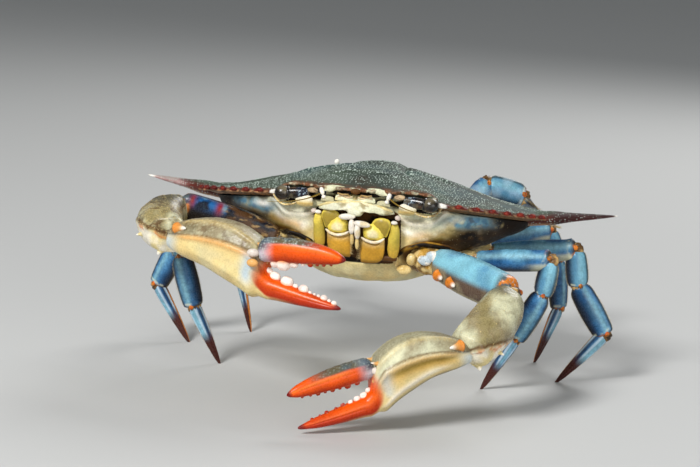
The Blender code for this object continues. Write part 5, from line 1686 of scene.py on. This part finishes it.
def make_stage():
    """Plain pale floor."""
    mesh = bpy.data.meshes.new("floor")
    reach = 12.0
    mesh.from_pydata([(-reach, -reach, 0), (reach, -reach, 0), (reach, reach, 0), (-reach, reach, 0)], [],
                     [(0, 1, 2, 3)])
    floor = bpy.data.objects.new("floor", mesh)
    bpy.context.scene.collection.objects.link(floor)
    pale = bpy.data.materials.new("floor")
    pale.use_nodes = True
    shader = pale.node_tree.nodes["Principled BSDF"]
    shader.inputs["Base Color"].default_value = (0.56, 0.562, 0.55, 1)
    shader.inputs["Roughness"].default_value = 0.75
    mesh.materials.append(pale)


# Place and size in metres, power in watts
LIGHTS = {"key": ((-0.35, -0.95, 0.8), 0.3, 15.3), "fill": ((0.75, -0.95, 0.14), 0.8, 6.0),
          "rim": ((0.3, 0.8, 0.7), 0.5, 5.0)}
LIGHT_TARGET = Vector((0, -0.02, 0.04))


def make_lights():
    """Soft light from the front left, with a fill and a rim light."""
    bpy.context.scene.view_settings.view_transform = "Standard"
    world = bpy.data.worlds.new("studio")
    world.use_nodes = True
    world.node_tree.nodes["Background"].inputs["Color"].default_value = (0.93, 0.97, 1.0, 1)
    world.node_tree.nodes["Background"].inputs["Strength"].default_value = 0.22
    bpy.context.scene.world = world
    for name, (place, size, power) in LIGHTS.items():
        data = bpy.data.lights.new(name, "AREA")
        data.size = size
        data.energy = power
        lamp = bpy.data.objects.new(name, data)
        bpy.context.scene.collection.objects.link(lamp)
        lamp.location = place
        lamp.rotation_euler = (LIGHT_TARGET - Vector(place)).to_track_quat("-Z", "Y").to_euler()


def make_camera():
    """Camera at the photograph's angle, aimed by turning it and not by shift."""
    azimuth, elevation = math.radians(CAMERA_AZIMUTH), math.radians(CAMERA_ELEVATION)
    roll = math.radians(CAMERA_ROLL)
    back = np.array((math.sin(azimuth) * math.cos(elevation), -math.cos(azimuth) * math.cos(elevation),
                     math.sin(elevation)))
    level = np.array((math.cos(azimuth), math.sin(azimuth), 0.0))
    upright = np.cross(back, level)
    right = math.cos(roll) * level + math.sin(roll) * upright
    upward = np.cross(back, right)
    place = back * CAMERA_DISTANCE
    forward = right * AIM_RIGHT + upward * AIM_UP - place
    turned, lifted, _ = axes(forward, upward)
    data = bpy.data.cameras.new("camera")
    data.lens, data.sensor_width = CAMERA_LENS, 36.0
    data.clip_start, data.clip_end = 0.05, 50.0
    camera = bpy.data.objects.new("camera", data)
    bpy.context.scene.collection.objects.link(camera)
    turn = Matrix(np.column_stack([np.cross(turned, lifted), lifted, -turned]).tolist())
    camera.matrix_world = Matrix.Translation(Vector(to_world(place))) @ turn.to_4x4()
    bpy.context.scene.camera = camera


# ---- The crab --------------------------------------------------------------------------------

make_stage()
make_lights()
make_camera()
make_carapace()
make_body()
make_apron()
make_eyes()
make_feelers()
make_jaw_feet()
for side_name, side_sign in SIDES.items():
    claw_spec = {key: mirrored(point, side_sign) for key, point in CLAWS[side_name].items()}
    make_arm(side_name, side_sign, claw_spec)
    make_pincer(side_name, claw_spec)
    for number, leg_name in enumerate(WALKING_LEGS):
        make_walking_leg(leg_name, side_name, 100 * number + 50 * (side_sign > 0))
    make_swimming_leg(side_name, 400 + 50 * (side_sign > 0))
